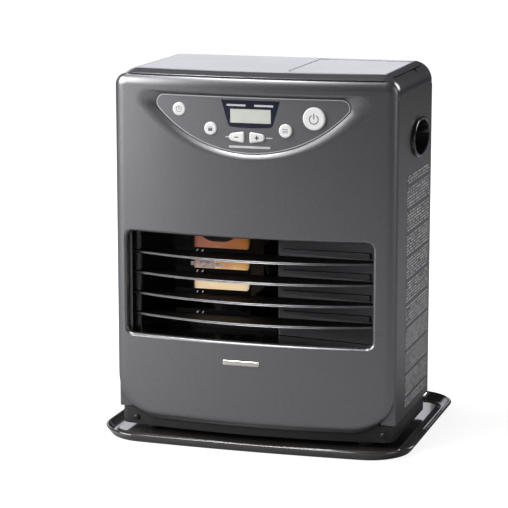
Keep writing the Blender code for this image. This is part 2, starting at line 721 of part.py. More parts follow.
def lid_hinge_pins():
    """Each is a cranked bracket under the top cover with a pin in one end of the lid's barrel."""
    first, last = BARREL_ENDS
    for name, low, pin in (
        ("lid_hinge_pin_left", first - 7, (first - 4, first + 7)),
        ("lid_hinge_pin_right", last + 1, (last - 7, last + 4)),
    ):
        high = low + 6
        under = TOP_Z - COVER_WALL - GAP
        outline = [(37, 426), (37, 416), (56, 416), (56, under)]
        outline += [(50, under), (50, 420.5), (42, 420.5), (42, 426)]
        body = loft(name, "bare_steel", [at_x(outline, low), at_x(outline, high)])
        shank = [(pin[0], 1.5), (pin[1], 1.5)]
        join(body, rod("pin", "bare_steel", "x", (LID_AXIS_Y, LID_AXIS_Z), shank, 12))


# Fans and electrics


def turned(mid, turn, reach, across, y):
    """The point at reach along a radius and across beside it, on a wheel round Y that has turned by turn."""
    x = mid[0] + reach * math.cos(turn) - across * math.sin(turn)
    return (x, y, mid[1] + reach * math.sin(turn) + across * math.cos(turn))


def vane_wheel(name, finish, mid, radius, span, vanes, pitch, hub, shaft_end):
    """A hub on a shaft along Y with flat, pitched vanes."""
    front, rear = span
    profile = [(shaft_end, SHAFT_RADIUS), (front, SHAFT_RADIUS), (front, hub), (rear, hub)]
    body = rod(name, finish, "y", mid, profile, 20)
    middle = (front + rear) / 2
    depth = (rear - front) * 0.42
    lean = depth * math.tan(math.radians(pitch))
    for i in range(vanes):
        turn = 2 * math.pi * i / vanes
        rings = []
        for reach in (hub - 2, radius):
            corners = [(-lean - 0.7, -depth), (0.7 - lean, -depth), (lean + 0.7, depth), (lean - 0.7, depth)]
            rings.append([turned(mid, turn, reach, across, middle + along) for across, along in corners])
        join(body, loft("vane", finish, rings))
    return move_origin(body, (mid[0], middle, mid[1]))


def convection_fan():
    vane_wheel("convection_fan", "bare_steel", FAN_MID, FAN_RADIUS, (62, 82), 5, 50, 16, 40)
    motor = rod("fan_motor", "bare_steel", "y", FAN_MID, [(24, 20), (27, 25), (51, 25), (53.6, 20)], 20)
    cut(motor, rod("bore", "bare_steel", "y", FAN_MID, [(38, SHAFT_BORE), (60, SHAFT_BORE)], 12))
    low = (FAN_MID[0] - 80, 54.0, FAN_MID[1] - 12)
    bracket = block("fan_bracket", "black_paint", low, (FAN_MID[0] + 56, 56.5, FAN_MID[1] + 12))
    cut(bracket, rod("hole", "black_paint", "y", FAN_MID, [(50, 8), (60, 8)], 16))


def fan_guard():
    """A box behind the fan with slots in its back and a rail on each side for the filter."""
    low = (-127.0, BODY_REAR - 2 + GAP, 143.0)
    high = (37.0, 94.0, 307.0)
    body = block("fan_guard", "black_plastic", low, high)
    cut(body, block("hollow", "black_plastic", (low[0] + 2, 50, low[2] + 2), (high[0] - 2, 92, high[2] - 2)))
    for i in range(10):
        z = low[2] + 12 + i * 14.4
        cut(body, block("slot", "black_plastic", (low[0] + 10, 90, z), (high[0] - 10, 100, z + 9)))
    for edge, inward in ((low[0], 1), (high[0], -1)):
        path = [(edge, 93.5), (edge, 100.0), (edge + 6 * inward, 100.0), (edge + 6 * inward, 98.4)]
        path += [(edge + 2 * inward, 98.4), (edge + 2 * inward, 93.5)]
        join(body, loft("rail", "black_plastic", [at_z(path, low[2]), at_z(path, high[2])]))


def air_filter():
    low = (-124.4, 94.4, 145.0)
    high = (34.4, 97.8, 307.0)
    body = block("air_filter", "black_plastic", low, high)
    columns, rows = 4, 5
    width = (high[0] - low[0] - 8) / columns
    height = (high[2] - low[2] - 8) / rows
    for i in range(columns * rows):
        x = low[0] + 6 + width * (i % columns)
        z = low[2] + 6 + height * (i // columns)
        cut(body, block("hole", "black_plastic", (x, 90, z), (x + width - 4, 105, z + height - 4)))
    pull = rounded_rect((-60, 307), (-30, 313), (1, 3, 3, 1), 3)
    pull = [(x, z - 1) for x, z in pull]
    join(body, loft("pull", "black_plastic", [at_y(pull, low[1]), at_y(pull, high[1])]))
    return move_origin(body, (FAN_MID[0], high[1], low[2]))


def blower():
    """A drum on a foot, open in front and above, its wheel inside, and the motor behind."""
    mid, outer = BLOWER_MID, BLOWER_RADIUS + 3
    body = rod("blower_housing", "bare_steel", "y", mid, [(-66, outer), (-30, outer)], 24)
    base = PAN_Z + SHEET + GAP
    join(body, block("foot", "bare_steel", (mid[0] - 22, -62, base), (mid[0] + 22, -34, mid[1] - 25)))
    hollow = BLOWER_RADIUS + 1
    cut(body, rod("hollow", "bare_steel", "y", mid, [(-64, hollow), (-32, hollow)], 24))
    cut(body, rod("inlet", "bare_steel", "y", mid, [(-70, 20), (-60, 20)], 20))
    cut(body, rod("bore", "bare_steel", "y", mid, [(-40, 5), (-20, 5)], 12))
    cut(body, block("outlet", "bare_steel", (mid[0] + 6, -60, mid[1]), (mid[0] + 26, -36, mid[1] + 60)))
    vane_wheel("blower_impeller", "black_plastic", mid, 30, (-60, -36), 8, 0, 9, -20)
    motor = rod("blower_motor", "bare_steel", "y", mid, [(-29.7, 18), (4, 18), (8, 8)], 20)
    cut(motor, rod("bore", "bare_steel", "y", mid, [(-35, SHAFT_BORE), (-18, SHAFT_BORE)], 12))


def electrics():
    base = PAN_Z + SHEET + GAP
    block("circuit_board", "circuit_board", (-112, -114.4, 340), (112, -112.8, 400))
    block("transformer", "black_paint", (-58, -92, base), (-14, -56, base + 38))
    block("tip_over_switch", "black_plastic", (143.5, -95, base), (160, -70, base + 30))
    outline = rounded_rect((112, 300), (132, 330), (3,) * 4, 3)
    face = REAR_PANEL_Y + SHEET + GAP
    rings = [at_y(outline, face), at_y(outline, face + 6)]
    sensor = loft("room_sensor", "black_plastic", rings)
    for z in (306, 313, 320):
        cut(sensor, block("slot", "black_plastic", (116, face + 2, z), (128, face + 9, z + 3)))
    gland = [(face - 8, 7.6), (face, 7.6), (face, 11), (face + 3, 11)]
    gland += [(face + 9, 6), (face + 9, 3.6), (face - 8, 3.6)]
    rod("cable_gland", "rubber", "y", (-140, 60), gland, 20, closed=True)


def clear_scene():
    for left_over in list(bpy.data.objects):
        bpy.data.objects.remove(left_over)


def main():
    clear_scene()
    drip_tray()
    base_pan()
    feet()
    chassis_screws()
    for side, word in ((-1, "left"), (1, "right")):
        cabinet_side(f"cabinet_{word}", side)
        side_grip(f"side_grip_{word}", side)
    rear_panel()
    top_cover()
    front_panel()
    front_badge()
    control_plate()
    display_window()
    lcd_panel()
    buttons()
    louvre_blades()
    louver_bracket()
    air_guide()
    duct_floor()
    heat_shield()
    combustion_chamber()
    burner()
    fuel_parts()
    fuel_tank()
    tank_lid()
    lid_hinge_pins()
    convection_fan()
    fan_guard()
    air_filter()
    blower()
    electrics()
    for solid in bpy.context.scene.objects:
        if solid.type == "MESH":
            solid.data.shade_smooth()
            solid.data.set_sharp_from_angle(angle=math.radians(32))


main()
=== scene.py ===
"""Looks of the kerosene fan heater: fine shells, keys, blades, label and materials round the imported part.

Shapes are built in millimetres and turned into metres by mesh_object(), in the part's own frame."""

import json
import math

import bmesh
import bpy
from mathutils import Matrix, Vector


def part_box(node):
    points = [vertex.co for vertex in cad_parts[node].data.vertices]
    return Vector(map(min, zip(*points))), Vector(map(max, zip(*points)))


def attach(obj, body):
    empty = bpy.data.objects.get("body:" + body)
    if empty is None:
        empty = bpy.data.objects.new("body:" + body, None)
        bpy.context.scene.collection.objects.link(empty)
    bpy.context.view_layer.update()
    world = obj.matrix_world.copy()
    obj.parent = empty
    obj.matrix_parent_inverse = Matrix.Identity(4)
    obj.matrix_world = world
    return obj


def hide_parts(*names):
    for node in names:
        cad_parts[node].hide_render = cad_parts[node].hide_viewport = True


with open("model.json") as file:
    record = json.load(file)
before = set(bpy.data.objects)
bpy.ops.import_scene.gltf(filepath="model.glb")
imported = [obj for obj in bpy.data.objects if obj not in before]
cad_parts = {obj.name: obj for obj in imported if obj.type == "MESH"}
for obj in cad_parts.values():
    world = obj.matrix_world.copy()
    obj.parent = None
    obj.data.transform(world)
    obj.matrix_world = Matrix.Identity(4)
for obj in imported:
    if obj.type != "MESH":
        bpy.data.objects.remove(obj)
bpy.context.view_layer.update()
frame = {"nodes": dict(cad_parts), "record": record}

MM = 0.001


def box(node):
    """A CAD node's lowest and highest corners in millimetres."""
    return [tuple(value / MM for value in corner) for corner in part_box(node)]


# Front panel: built flat, then bent forward about its middle by BOW
PANEL_BOX = box("front_panel")
HALF = PANEL_BOX[1][0]
PANEL_LOW = PANEL_BOX[0][2]
PANEL_TOP = PANEL_BOX[1][2]
BOW = 15.5
BOW_PARTS = 48
PANEL_Y = PANEL_BOX[0][1] + BOW
PANEL_RIM_Y = PANEL_BOX[1][1]
EDGE_INSET = 12.0
LOW_CORNER = 50.0
TOP_CORNER = 14.0

# Louvre opening and blades
LOUVRE_LOW = (-151.5, 124.0)
LOUVRE_HIGH = (139.5, 243.0)
LOUVRE_CORNER = 8.0
FRAME_ROUND = 5.0
BLADES = 4
BLADE_SAG = 27.0
LANCE_PLACES = (-79.5, -73.0)
DUCT_FLOOR = 119.6

# Control plate and the recess round it: discs' segments with the flat edge up
RECESS = {"radius": 192.0, "low": 331.5, "top": 408.0, "tip": 13.0}
PLATE = {"radius": 152.0, "low": 339.0, "top": 403.5, "tip": 10.0}
PLATE_Y = -111.5
PRINT_PROUD = 0.12
WINDOW_TOP = 399.0
WINDOW_LOW = 370.0
WINDOW_TOP_HALF = 33.8
WINDOW_LOW_HALF = 25.0
LCD_LOW = (-24.0, 373.5)
LCD_HIGH = (24.0, 390.0)

# Pale printed bars on the plate: lower left and upper right corner
PLATE_BARS = (
    ((-29, 357.3), (-24.2, 358.6)),
    ((17.6, 357.3), (25.5, 358.6)),
    ((-25, 345.8), (23, 348.4)),
)

# Cover and lid
COVER_BOX = box("top_cover")
SEAM_Z = COVER_BOX[0][2]
TOP_Z = COVER_BOX[1][2]
BODY_REAR = COVER_BOX[1][1]
TOP_LEFT_RADIUS = 25.0
TOP_RIGHT_RADIUS = 22.0
LID_LOW = (34.0, -100.0)
LID_HIGH = (156.0, 46.2)
LID_AXIS_Y = 40.0
LID_AXIS_Z = 424.5
LID_THICK = 3.0

# Tray in plan, at its rim and at the platform under the cabinet.
# Each is half width, front, rear, corner radius and bow
TRAY_RIM = (185.5, -143, 150, 52, 7)
TRAY_PLATFORM = (172, -119, 112, 20, 15.5)
TRAY_LIP_Z = 9.4
TRAY_LIP_ROUND = 1.6

# Centre of the sight hole in the burner's front
SIGHT_HOLE = (-62.0, 262.0)

# Slanting air guide: its right-hand and left-hand corner in plan
GUIDE_RIGHT = (138.3, -80.5)
GUIDE_CORNER = (13.0, -62.0)

# A rib on the guide: x, height over the blade, and how far it stands out
GUIDE_RIB = ((20.5, 5.4, 0.2), (22, 6.0, 1.8), (124, 9.2, 2.2), (127, 9.2, 2.0), (128.5, 8.4, 0.2))

# Grips
GRIP_Y = -5.5
GRIP_Z = 350.0
GRIP_HOLE = (37.5, 20.0)

# The grip's cup and lip: how far outside the sheet, and how much wider than the hole
GRIP_PROFILE = [(-24, -5), (-20, -1.5), (0.3, -0.5), (0.3, 3.5), (1.6, 3.5), (2.9, 3.0), (3.8, 1.9)]
GRIP_PROFILE += [(4, 0.8), (3.6, -0.4), (2.4, -1.2), (-17, -4), (-20.5, -5), (-22, -7.5)]

# Camera: place in metres, pitch and turn in degrees, lens in millimetres
CAMERA_PLACE = (0.7032, -2.4404, 0.6909)
CAMERA_PITCH = 79.12
CAMERA_TURN = 16.81
CAMERA_LENS = 155.3


# Outlines: lists of pairs, anticlockwise


def arc(centre, radius, start, end, steps):
    """Points on an arc from start to end in degrees, both included."""
    angles = [math.radians(start + (end - start) * i / steps) for i in range(steps + 1)]
    return [(centre[0] + radius * math.cos(a), centre[1] + radius * math.sin(a)) for a in angles]


def circle(centre, radius, steps=48):
    return arc(centre, radius, 0, 360, steps)[:-1]


def ellipse(centre, reach, steps=64):
    return [(centre[0] + reach[0] * x, centre[1] + reach[1] * y) for x, y in circle((0, 0), 1, steps)]


def rounded_rect(low, high, radii, steps=8):
    """The radii are those of the lower right, upper right, upper left and lower left corner."""
    corners = ((high[0], low[1]), high, (low[0], high[1]), low)
    inwards = ((-1, 1), (-1, -1), (1, -1), (1, 1))
    points = []
    for corner, inward, radius, start in zip(corners, inwards, radii, (-90, 0, 90, 180)):
        centre = (corner[0] + inward[0] * radius, corner[1] + inward[1] * radius)
        points += arc(centre, radius, start, start + 90, steps)
    return points


def plan_outline(half, front, rear, radius, sag, steps=10, parts=24):
    """A rounded oblong seen from above, whose front edge bows forward by sag."""
    run = half - radius
    points = rounded_rect((-half, front), (half, rear), (radius,) * 4, steps)
    points += [(-run + 2 * run * i / parts, front) for i in range(1, parts)]
    shares = [(rear - y) / (rear - front) for _, y in points]
    return [(x, y - sag * share * (1 - (x / half) ** 2)) for (x, y), share in zip(points, shares)]


def segment(radius, low, top, tip, inset=0.0, tip_steps=12, low_steps=60):
    """A disc's segment with its flat edge up and rounded tips."""
    centre = low + radius
    radius -= inset
    tip -= inset
    tip_z = top - inset - tip
    tip_x = math.sqrt((radius - tip) ** 2 - (centre - tip_z) ** 2)
    slope = math.degrees(math.atan2(centre - tip_z, tip_x))
    points = arc((tip_x, tip_z), tip, -slope, 90, tip_steps)
    points += arc((-tip_x, tip_z), tip, 90, 180 + slope, tip_steps)
    return points + arc((0, centre), radius, 180 + slope, 360 - slope, low_steps)[1:-1]


def strip(path, thickness):
    """A bent strip: the path, and back along the path moved to its left."""
    moved = []
    for i, point in enumerate(path):
        near = path[max(i - 1, 0) : i + 2]
        normals = []
        for a, b in zip(near, near[1:]):
            length = math.dist(a, b)
            normals.append(((a[1] - b[1]) / length, (b[0] - a[0]) / length))
        first, last = normals[0], normals[-1]
        scale = thickness / (1 + first[0] * last[0] + first[1] * last[1])
        moved.append((point[0] + scale * (first[0] + last[0]), point[1] + scale * (first[1] + last[1])))
    return list(path) + moved[::-1]


def between(first, last, share):
    """An outline part of the way from first to last."""
    return [tuple(a + (b - a) * share for a, b in zip(p, q)) for p, q in zip(first, last)]


def at_x(outline, x):
    return [(x, y, z) for y, z in outline]


def at_y(outline, y):
    return [(x, y, z) for x, z in outline]


def at_z(outline, z):
    return [(x, y, z) for x, y in outline]


# Materials: each is a graph of nodes on the Principled shader, in object coordinates


class Graph:
    """A node material under construction. Sizes of patterns are in millimetres."""

    def __init__(self, name, colour, roughness, metallic=0.0, **sockets):
        self.material = bpy.data.materials.new(name)
        self.material.use_nodes = True
        self.nodes = self.material.node_tree.nodes
        self.links = self.material.node_tree.links
        self.shader = self.nodes["Principled BSDF"]
        self.colour = colour
        self.roughness = roughness
        self.set("Base Color", (*colour, 1))
        self.set("Roughness", roughness)
        self.set("Metallic", metallic)
        for socket, value in sockets.items():
            self.set(socket.replace("_", " ").title().replace("Ior", "IOR"), value)
        coordinates = self.node("ShaderNodeTexCoord")
        scaled = self.node("ShaderNodeVectorMath", operation="SCALE")
        self.links.new(coordinates.outputs["Object"], scaled.inputs[0])
        scaled.inputs["Scale"].default_value = 1 / MM
        self.where = scaled.outputs[0]

    def node(self, kind, **settings):
        made = self.nodes.new(kind)
        for name, value in settings.items():
            setattr(made, name, value)
        return made

    def set(self, socket, value):
        self.shader.inputs[socket].default_value = value

    def feed(self, output, socket):
        self.links.new(output, self.shader.inputs[socket])

    def stretched(self, scale):
        """The place scaled by a different amount along each axis."""
        node = self.node("ShaderNodeVectorMath", operation="MULTIPLY")
        self.links.new(self.where, node.inputs[0])
        node.inputs[1].default_value = scale
        return node.outputs[0]

    def noise(self, size, detail=2.0, stretch=None):
        node = self.node("ShaderNodeTexNoise")
        place = self.stretched(stretch) if stretch else self.where
        self.links.new(place, node.inputs["Vector"])
        node.inputs["Scale"].default_value = 1 / size
        node.inputs["Detail"].default_value = detail
        return node.outputs["Fac"]

    def cells(self, size, feature="F1", stretch=None):
        node = self.node("ShaderNodeTexVoronoi", feature=feature)
        place = self.stretched(stretch) if stretch else self.where
        self.links.new(place, node.inputs["Vector"])
        node.inputs["Scale"].default_value = 1 / size
        return node

    def math(self, operation, first, second=0.0):
        node = self.node("ShaderNodeMath", operation=operation)
        for socket, value in zip(node.inputs, (first, second)):
            if isinstance(value, (int, float)):
                socket.default_value = value
            else:
                self.links.new(value, socket)
        return node.outputs[0]

    def axis(self, name):
        node = self.node("ShaderNodeSeparateXYZ")
        self.links.new(self.where, node.inputs[0])
        return node.outputs[name]

    def spread(self, value, from_low, from_high, low, high):
        """The value, with one range of it stretched onto another."""
        node = self.node("ShaderNodeMapRange")
        self.links.new(value, node.inputs["Value"])
        limits = {"From Min": from_low, "From Max": from_high, "To Min": low, "To Max": high}
        for socket, number in limits.items():
            node.inputs[socket].default_value = number
        return node.outputs["Result"]

    def ramp(self, value, stops):
        """Colours along a value: stops are pairs of a place from 0 to 1 and a colour."""
        node = self.node("ShaderNodeValToRGB")
        self.links.new(value, node.inputs["Fac"])
        elements = node.color_ramp.elements
        while len(elements) < len(stops):
            elements.new(0.5)
        for element, (place, colour) in zip(elements, stops):
            element.position = place
            element.color = (*colour, 1)
        return node.outputs["Color"]

    def mix(self, share, first, second):
        node = self.node("ShaderNodeMix", data_type="RGBA")
        self.links.new(share, node.inputs["Factor"])
        for place, value in ((6, first), (7, second)):
            if isinstance(value, tuple):
                node.inputs[place].default_value = (*value, 1)
            else:
                self.links.new(value, node.inputs[place])
        return node.outputs[2]

    def bump(self, height, depth):
        """Depth is how tall the relief is, in millimetres."""
        node = self.node("ShaderNodeBump")
        node.inputs["Distance"].default_value = depth * MM
        self.links.new(height, node.inputs["Height"])
        self.feed(node.outputs["Normal"], "Normal")

    def vary_colour(self, value, amount):
        low = tuple(c * (1 - amount) for c in self.colour)
        high = tuple(min(c * (1 + amount), 1.0) for c in self.colour)
        self.feed(self.ramp(value, ((0.3, low), (0.7, high))), "Base Color")

    def vary_roughness(self, value, amount):
        low, high = self.roughness - amount, self.roughness + amount
        self.feed(self.spread(value, 0.3, 0.7, low, high), "Roughness")


def paint(name, colour, roughness, metallic, coat):
    """Metallic lacquer: fine flakes under a clear coat with a faint orange peel."""
    graph = Graph(name, colour, roughness, metallic, coat_weight=coat, coat_roughness=0.12)
    graph.vary_colour(graph.cells(0.45).outputs["Color"], 0.10)
    graph.vary_roughness(graph.noise(90, 2), 0.015)
    graph.bump(graph.noise(2.4, 2), 0.008)
    return graph.material


def plastic(name, colour, roughness, grain=0.6, relief=0.02, coat=0.0, specular=0.5):
    """Moulded plastic with a fine spark-eroded grain."""
    graph = Graph(name, colour, roughness, coat_weight=coat, coat_roughness=0.08, specular_ior_level=specular)
    graph.vary_colour(graph.noise(30, 4), 0.10)
    graph.vary_roughness(graph.noise(8, 3), 0.05)
    graph.bump(graph.noise(grain, 3), relief)
    return graph.material


def steel(name, colour, roughness, stretch=(1, 1, 14), relief=0.006):
    """Rolled or drawn metal: fine scratches along one direction and a soft stain."""
    graph = Graph(name, colour, roughness, 1.0)
    scratches = graph.noise(3, 6, stretch)
    graph.vary_colour(graph.noise(18, 5), 0.12)
    graph.vary_roughness(scratches, 0.10)
    graph.bump(scratches, relief)
    return graph.material


def enamel(name, colour, roughness=0.16):
    """Thick gloss enamel with a soft orange peel."""
    graph = Graph(name, colour, roughness, coat_weight=1.0, coat_roughness=0.05)
    graph.vary_colour(graph.noise(40, 3), 0.15)
    graph.vary_roughness(graph.noise(12, 3), 0.03)
    graph.bump(graph.noise(3.5, 2), 0.012)
    return graph.material


def spangled():
    """Galvanised sheet: flat crystals of slightly different greys."""
    graph = Graph("galvanised", (0.55, 0.56, 0.57), 0.36, 1.0)
    crystals = graph.cells(9)
    graph.vary_colour(crystals.outputs["Color"], 0.22)
    graph.vary_roughness(crystals.outputs["Distance"], 0.08)
    graph.bump(graph.noise(4, 3), 0.01)
    return graph.material


def heat_tint_and_painted_light():
    """Steel that flames have coloured: rose and orange above, amber and cream below, with sides painted near
    black as shade.

    Painted light: the front glows a little, and its low band most."""
    graph = Graph("heat_tint_and_painted_light", (0.6, 0.33, 0.17), 0.40, 0.45)
    height = graph.spread(graph.axis("Z"), 158, 262, 0, 1)
    wander = graph.spread(graph.noise(16, 4), 0.3, 0.7, -0.04, 0.04)
    across = graph.spread(graph.axis("X"), -95, -30, 0, 1)
    cream, rose, copper = (1.0, 0.76, 0.48), (0.80, 0.42, 0.34), (0.66, 0.24, 0.17)
    left = ((0.0, cream), (0.24, cream), (0.34, rose), (0.45, rose), (0.55, copper))
    amber, orange = (0.78, 0.42, 0.12), (0.62, 0.22, 0.05)
    right = ((0.0, cream), (0.2, cream), (0.32, amber), (0.45, amber), (0.55, orange))
    place = graph.math("ADD", height, wander)
    front = graph.mix(across, graph.ramp(place, left), graph.ramp(place, right))
    facing = graph.node("ShaderNodeTexCoord").outputs["Normal"]
    apart = graph.node("ShaderNodeSeparateXYZ")
    graph.links.new(facing, apart.inputs[0])
    # Painted shade: faces that don't look forward are painted near black, and don't glow.
    forward = graph.spread(apart.outputs["Y"], -0.9, -0.7, 1, 0)
    colour = graph.mix(forward, (0.02, 0.014, 0.012), front)
    graph.feed(colour, "Base Color")
    # Painted light: the front's colour also glows, its low band most.
    graph.feed(colour, "Emission Color")
    graph.feed(graph.spread(place, 0.24, 0.45, 0.60, 0.22), "Emission Strength")
    graph.vary_roughness(graph.noise(9, 5), 0.08)
    graph.bump(graph.noise(5, 4, (1, 1, 5)), 0.03)
    return graph.material


def circuit():
    """Green solder mask with lighter tracks."""
    graph = Graph("circuit", (0.02, 0.15, 0.06), 0.4, coat_weight=0.5, coat_roughness=0.2)
    tracks = graph.cells(3.0, "DISTANCE_TO_EDGE", (1, 1, 2.5)).outputs["Distance"]
    graph.feed(graph.ramp(tracks, ((0.03, (0.05, 0.30, 0.12)), (0.06, (0.015, 0.11, 0.045)))), "Base Color")
    graph.vary_roughness(graph.noise(6, 2), 0.05)
    graph.bump(tracks, 0.05)
    return graph.material


def liquid_crystal():
    """A pale grey-green reflective display."""
    graph = Graph("liquid_crystal", (0.60, 0.62, 0.56), 0.35, coat_weight=0.6, coat_roughness=0.1)
    graph.vary_colour(graph.noise(14, 2), 0.05)
    graph.vary_roughness(graph.noise(3, 2), 0.04)
    graph.bump(graph.noise(0.4, 1), 0.004)
    return graph.material


def leaflet():
    """Rows of short printed bars in pale grey on the side's paint, with a gap after each paragraph."""
    graph = Graph("label_print", (0.16, 0.16, 0.165), 0.5, 0.2)
    row = graph.math("DIVIDE", graph.axis("Z"), 3.4)
    along = graph.math("DIVIDE", graph.axis("Y"), 2.6)
    line = graph.math("FLOOR", row)

    def chance(first, second):
        """A number from 0 to 1 for a pair of whole numbers."""
        seed = graph.node("ShaderNodeCombineXYZ")
        graph.links.new(first, seed.inputs[0])
        graph.links.new(second, seed.inputs[1])
        made = graph.node("ShaderNodeTexWhiteNoise", noise_dimensions="2D")
        graph.links.new(seed.outputs[0], made.inputs["Vector"])
        return made.outputs["Value"]

    strokes = graph.math("MULTIPLY", along, 5.0)
    word = graph.math("GREATER_THAN", chance(graph.math("FLOOR", along), line), 0.22)
    stroke = graph.math("GREATER_THAN", chance(graph.math("FLOOR", strokes), line), 0.25)
    height = graph.math("LESS_THAN", graph.math("FRACT", row), 0.55)
    paragraph = graph.math("GREATER_THAN", graph.math("MODULO", line, 8.0), 0.5)
    ink = graph.math("MULTIPLY", word, stroke)
    for limit in (height, paragraph):
        ink = graph.math("MULTIPLY", ink, limit)
    graph.feed(graph.mix(ink, (0.15, 0.15, 0.155), (0.80, 0.80, 0.81)), "Base Color")
    graph.vary_roughness(graph.noise(5, 2), 0.04)
    graph.bump(ink, 0.02)
    return graph.material


def glowing_probe():
    """Pale metal with painted light: it glows a little in its own pale tones."""
    graph = Graph("probe", (0.80, 0.66, 0.60), 0.35, 0.3)
    tone = graph.ramp(graph.noise(5, 3), ((0.35, (0.45, 0.40, 0.40)), (0.65, (0.95, 0.76, 0.68))))
    graph.feed(tone, "Base Color")
    # Painted light: the tone is also fed to the emission.
    graph.feed(tone, "Emission Color")
    graph.set("Emission Strength", 0.25)
    graph.vary_roughness(graph.noise(4, 3), 0.06)
    graph.bump(graph.noise(2, 3), 0.03)
    return graph.material


def net():
    """A fine woven net, dense enough to look closed."""
    graph = Graph("filter_net", (0.016, 0.016, 0.018), 0.7)
    warp = graph.math("ABSOLUTE", graph.math("SINE", graph.math("MULTIPLY", graph.axis("X"), 2.6)))
    weft = graph.math("ABSOLUTE", graph.math("SINE", graph.math("MULTIPLY", graph.axis("Z"), 2.6)))
    weave = graph.math("MULTIPLY", warp, weft)
    graph.feed(graph.ramp(weave, ((0.2, (0.035, 0.035, 0.038)), (0.6, (0.006, 0.006, 0.007)))), "Base Color")
    graph.vary_roughness(weave, 0.05)
    graph.bump(weave, 0.15)
    return graph.material


def window_glass():
    graph = Graph("window_glass", (0.008, 0.010, 0.028), 0.12, coat_weight=0.8, coat_roughness=0.04)
    graph.vary_colour(graph.noise(12, 2), 0.2)
    graph.vary_roughness(graph.noise(6, 2), 0.03)
    return graph.material


PAINT = {
    "panel_paint": paint("panel_lacquer", (0.20, 0.20, 0.208), 0.33, 0.88, 0.10),
    "cover_paint": paint("cover_lacquer", (0.22, 0.22, 0.24), 0.21, 0.70, 0.50),
    "side_paint": paint("side_lacquer", (0.17, 0.17, 0.176), 0.34, 0.80, 0.10),
    "plate_plastic": paint("plate_lacquer", (0.16, 0.16, 0.17), 0.45, 0.55, 0.10),
    "tray_enamel": enamel("tray_gloss", (0.040, 0.036, 0.034)),
    "floor_enamel": enamel("duct_gloss", (0.010, 0.010, 0.011), 0.14),
    "black_paint": plastic("satin_black", (0.016, 0.016, 0.017), 0.42, 1.2, 0.02),
    "screw_black": steel("black_oxide", (0.06, 0.06, 0.06), 0.40),
    "rubber": plastic("rubber", (0.018, 0.018, 0.018), 0.75, 0.8, 0.05),
    "grip_plastic": plastic("grip_black", (0.014, 0.014, 0.016), 0.20, 1.5, 0.01, 0.5),
    "black_plastic": plastic("moulded_black", (0.018, 0.018, 0.019), 0.42, 0.5, 0.03),
    "filter_plastic": plastic("filter_black", (0.022, 0.022, 0.024), 0.5, 0.5, 0.03),
    "sump_plastic": plastic("sump_black", (0.04, 0.04, 0.042), 0.5, 0.7, 0.03),
    "handle_plastic": plastic("handle_red", (0.42, 0.03, 0.02), 0.3, 0.8, 0.02, 0.3),
    "button_plastic": plastic("key_white", (0.78, 0.78, 0.77), 0.38, 0.5, 0.006, 0.2),
    "window_plastic": window_glass(),
    "lcd_glass": liquid_crystal(),
    "badge_metal": steel("badge_bright", (0.80, 0.77, 0.68), 0.28, (14, 1, 1)),
    "blade_steel": plastic("blade_black", (0.004, 0.004, 0.0045), 0.6, 1.0, 0.01, 0.0, 0.12),
    # Blade beads: lighter steel than the black sheet, a painted highlight along the blade fronts.
    "bead_steel": steel("blade_bead_painted_highlight", (0.25, 0.25, 0.26), 0.34, (14, 1, 1)),
    # Lances: nearly white, a painted glint on the small tabs.
    "lance_steel": plastic("lance_painted_glint", (0.90, 0.88, 0.82), 0.30, 0.8, 0.005),
    "bracket_steel": plastic("bracket_black", (0.012, 0.012, 0.014), 0.22, 2.6, 0.60, 0.4),
    "guide_steel": paint("guide_lacquer", (0.075, 0.075, 0.080), 0.42, 0.60, 0.10),
    "shield_steel": steel("dull_steel", (0.10, 0.10, 0.10), 0.5, (1, 14, 1)),
    "bare_steel": steel("bare_steel", (0.50, 0.50, 0.49), 0.34),
    "pump_steel": steel("cast_alloy", (0.50, 0.50, 0.50), 0.45, (1, 1, 1), 0.03),
    "motor_steel": steel("motor_steel", (0.38, 0.38, 0.38), 0.38, (1, 14, 1)),
    "fan_aluminium": steel("fan_alloy", (0.66, 0.66, 0.67), 0.34, (1, 14, 1)),
    "brass": steel("brass", (0.60, 0.44, 0.20), 0.28),
    "ceramic": plastic("ceramic", (0.78, 0.74, 0.66), 0.5, 0.8, 0.03),
    "circuit_board": circuit(),
    "tank_steel": spangled(),
    "hot_steel": heat_tint_and_painted_light(),
}
PAINT["lid_paint"] = PAINT["cover_paint"]
INK = plastic("key_print", (0.10, 0.10, 0.105), 0.5, 0.5, 0.005)
PALE_INK = plastic("pale_print", (0.55, 0.55, 0.56), 0.5, 0.5, 0.005)
RIM_LIGHT = plastic("plate_painted_rim_highlight", (0.50, 0.50, 0.50), 0.4, 0.5, 0.004)
LABEL = leaflet()
NET = net()
SOOT = steel("soot", (0.020, 0.019, 0.018), 0.32)
PROBE = glowing_probe()
IN_THE_FLAME = {"burner_pot": SOOT, "flame_sensor": PROBE, "igniter": PROBE}


# Pieces


def mesh_object(name, slot, bm):
    """Puts a mesh that was built in millimetres into the scene."""
    bmesh.ops.scale(bm, vec=(MM, MM, MM), verts=bm.verts)
    bmesh.ops.recalc_face_normals(bm, faces=bm.faces)
    mesh = bpy.data.meshes.new(name)
    bm.to_mesh(mesh)
    bm.free()
    mesh.materials.append(PAINT[slot] if isinstance(slot, str) else slot)
    made = bpy.data.objects.new(name, mesh)
    bpy.context.scene.collection.objects.link(made)
    return made


def loft(name, slot, rings, closed=False):
    """A skin over rings of equal length. The end rings are filled, or joined to each other when closed."""
    bm = bmesh.new()
    rows = [[bm.verts.new(point) for point in ring] for ring in rings]
    pairs = list(zip(rows, rows[1:]))
    if closed:
        pairs.append((rows[-1], rows[0]))
    else:
        bm.faces.new(rows[0])
        bm.faces.new(rows[-1][::-1])
    for low, high in pairs:
        for i, corner in enumerate(low):
            bm.faces.new((corner, high[i], high[i - 1], low[i - 1]))
    return mesh_object(name, slot, bm)


def block(name, slot, low, high):
    outline = [(low[0], low[1]), (high[0], low[1]), (high[0], high[1]), (low[0], high[1])]
    return loft(name, slot, [at_z(outline, low[2]), at_z(outline, high[2])])


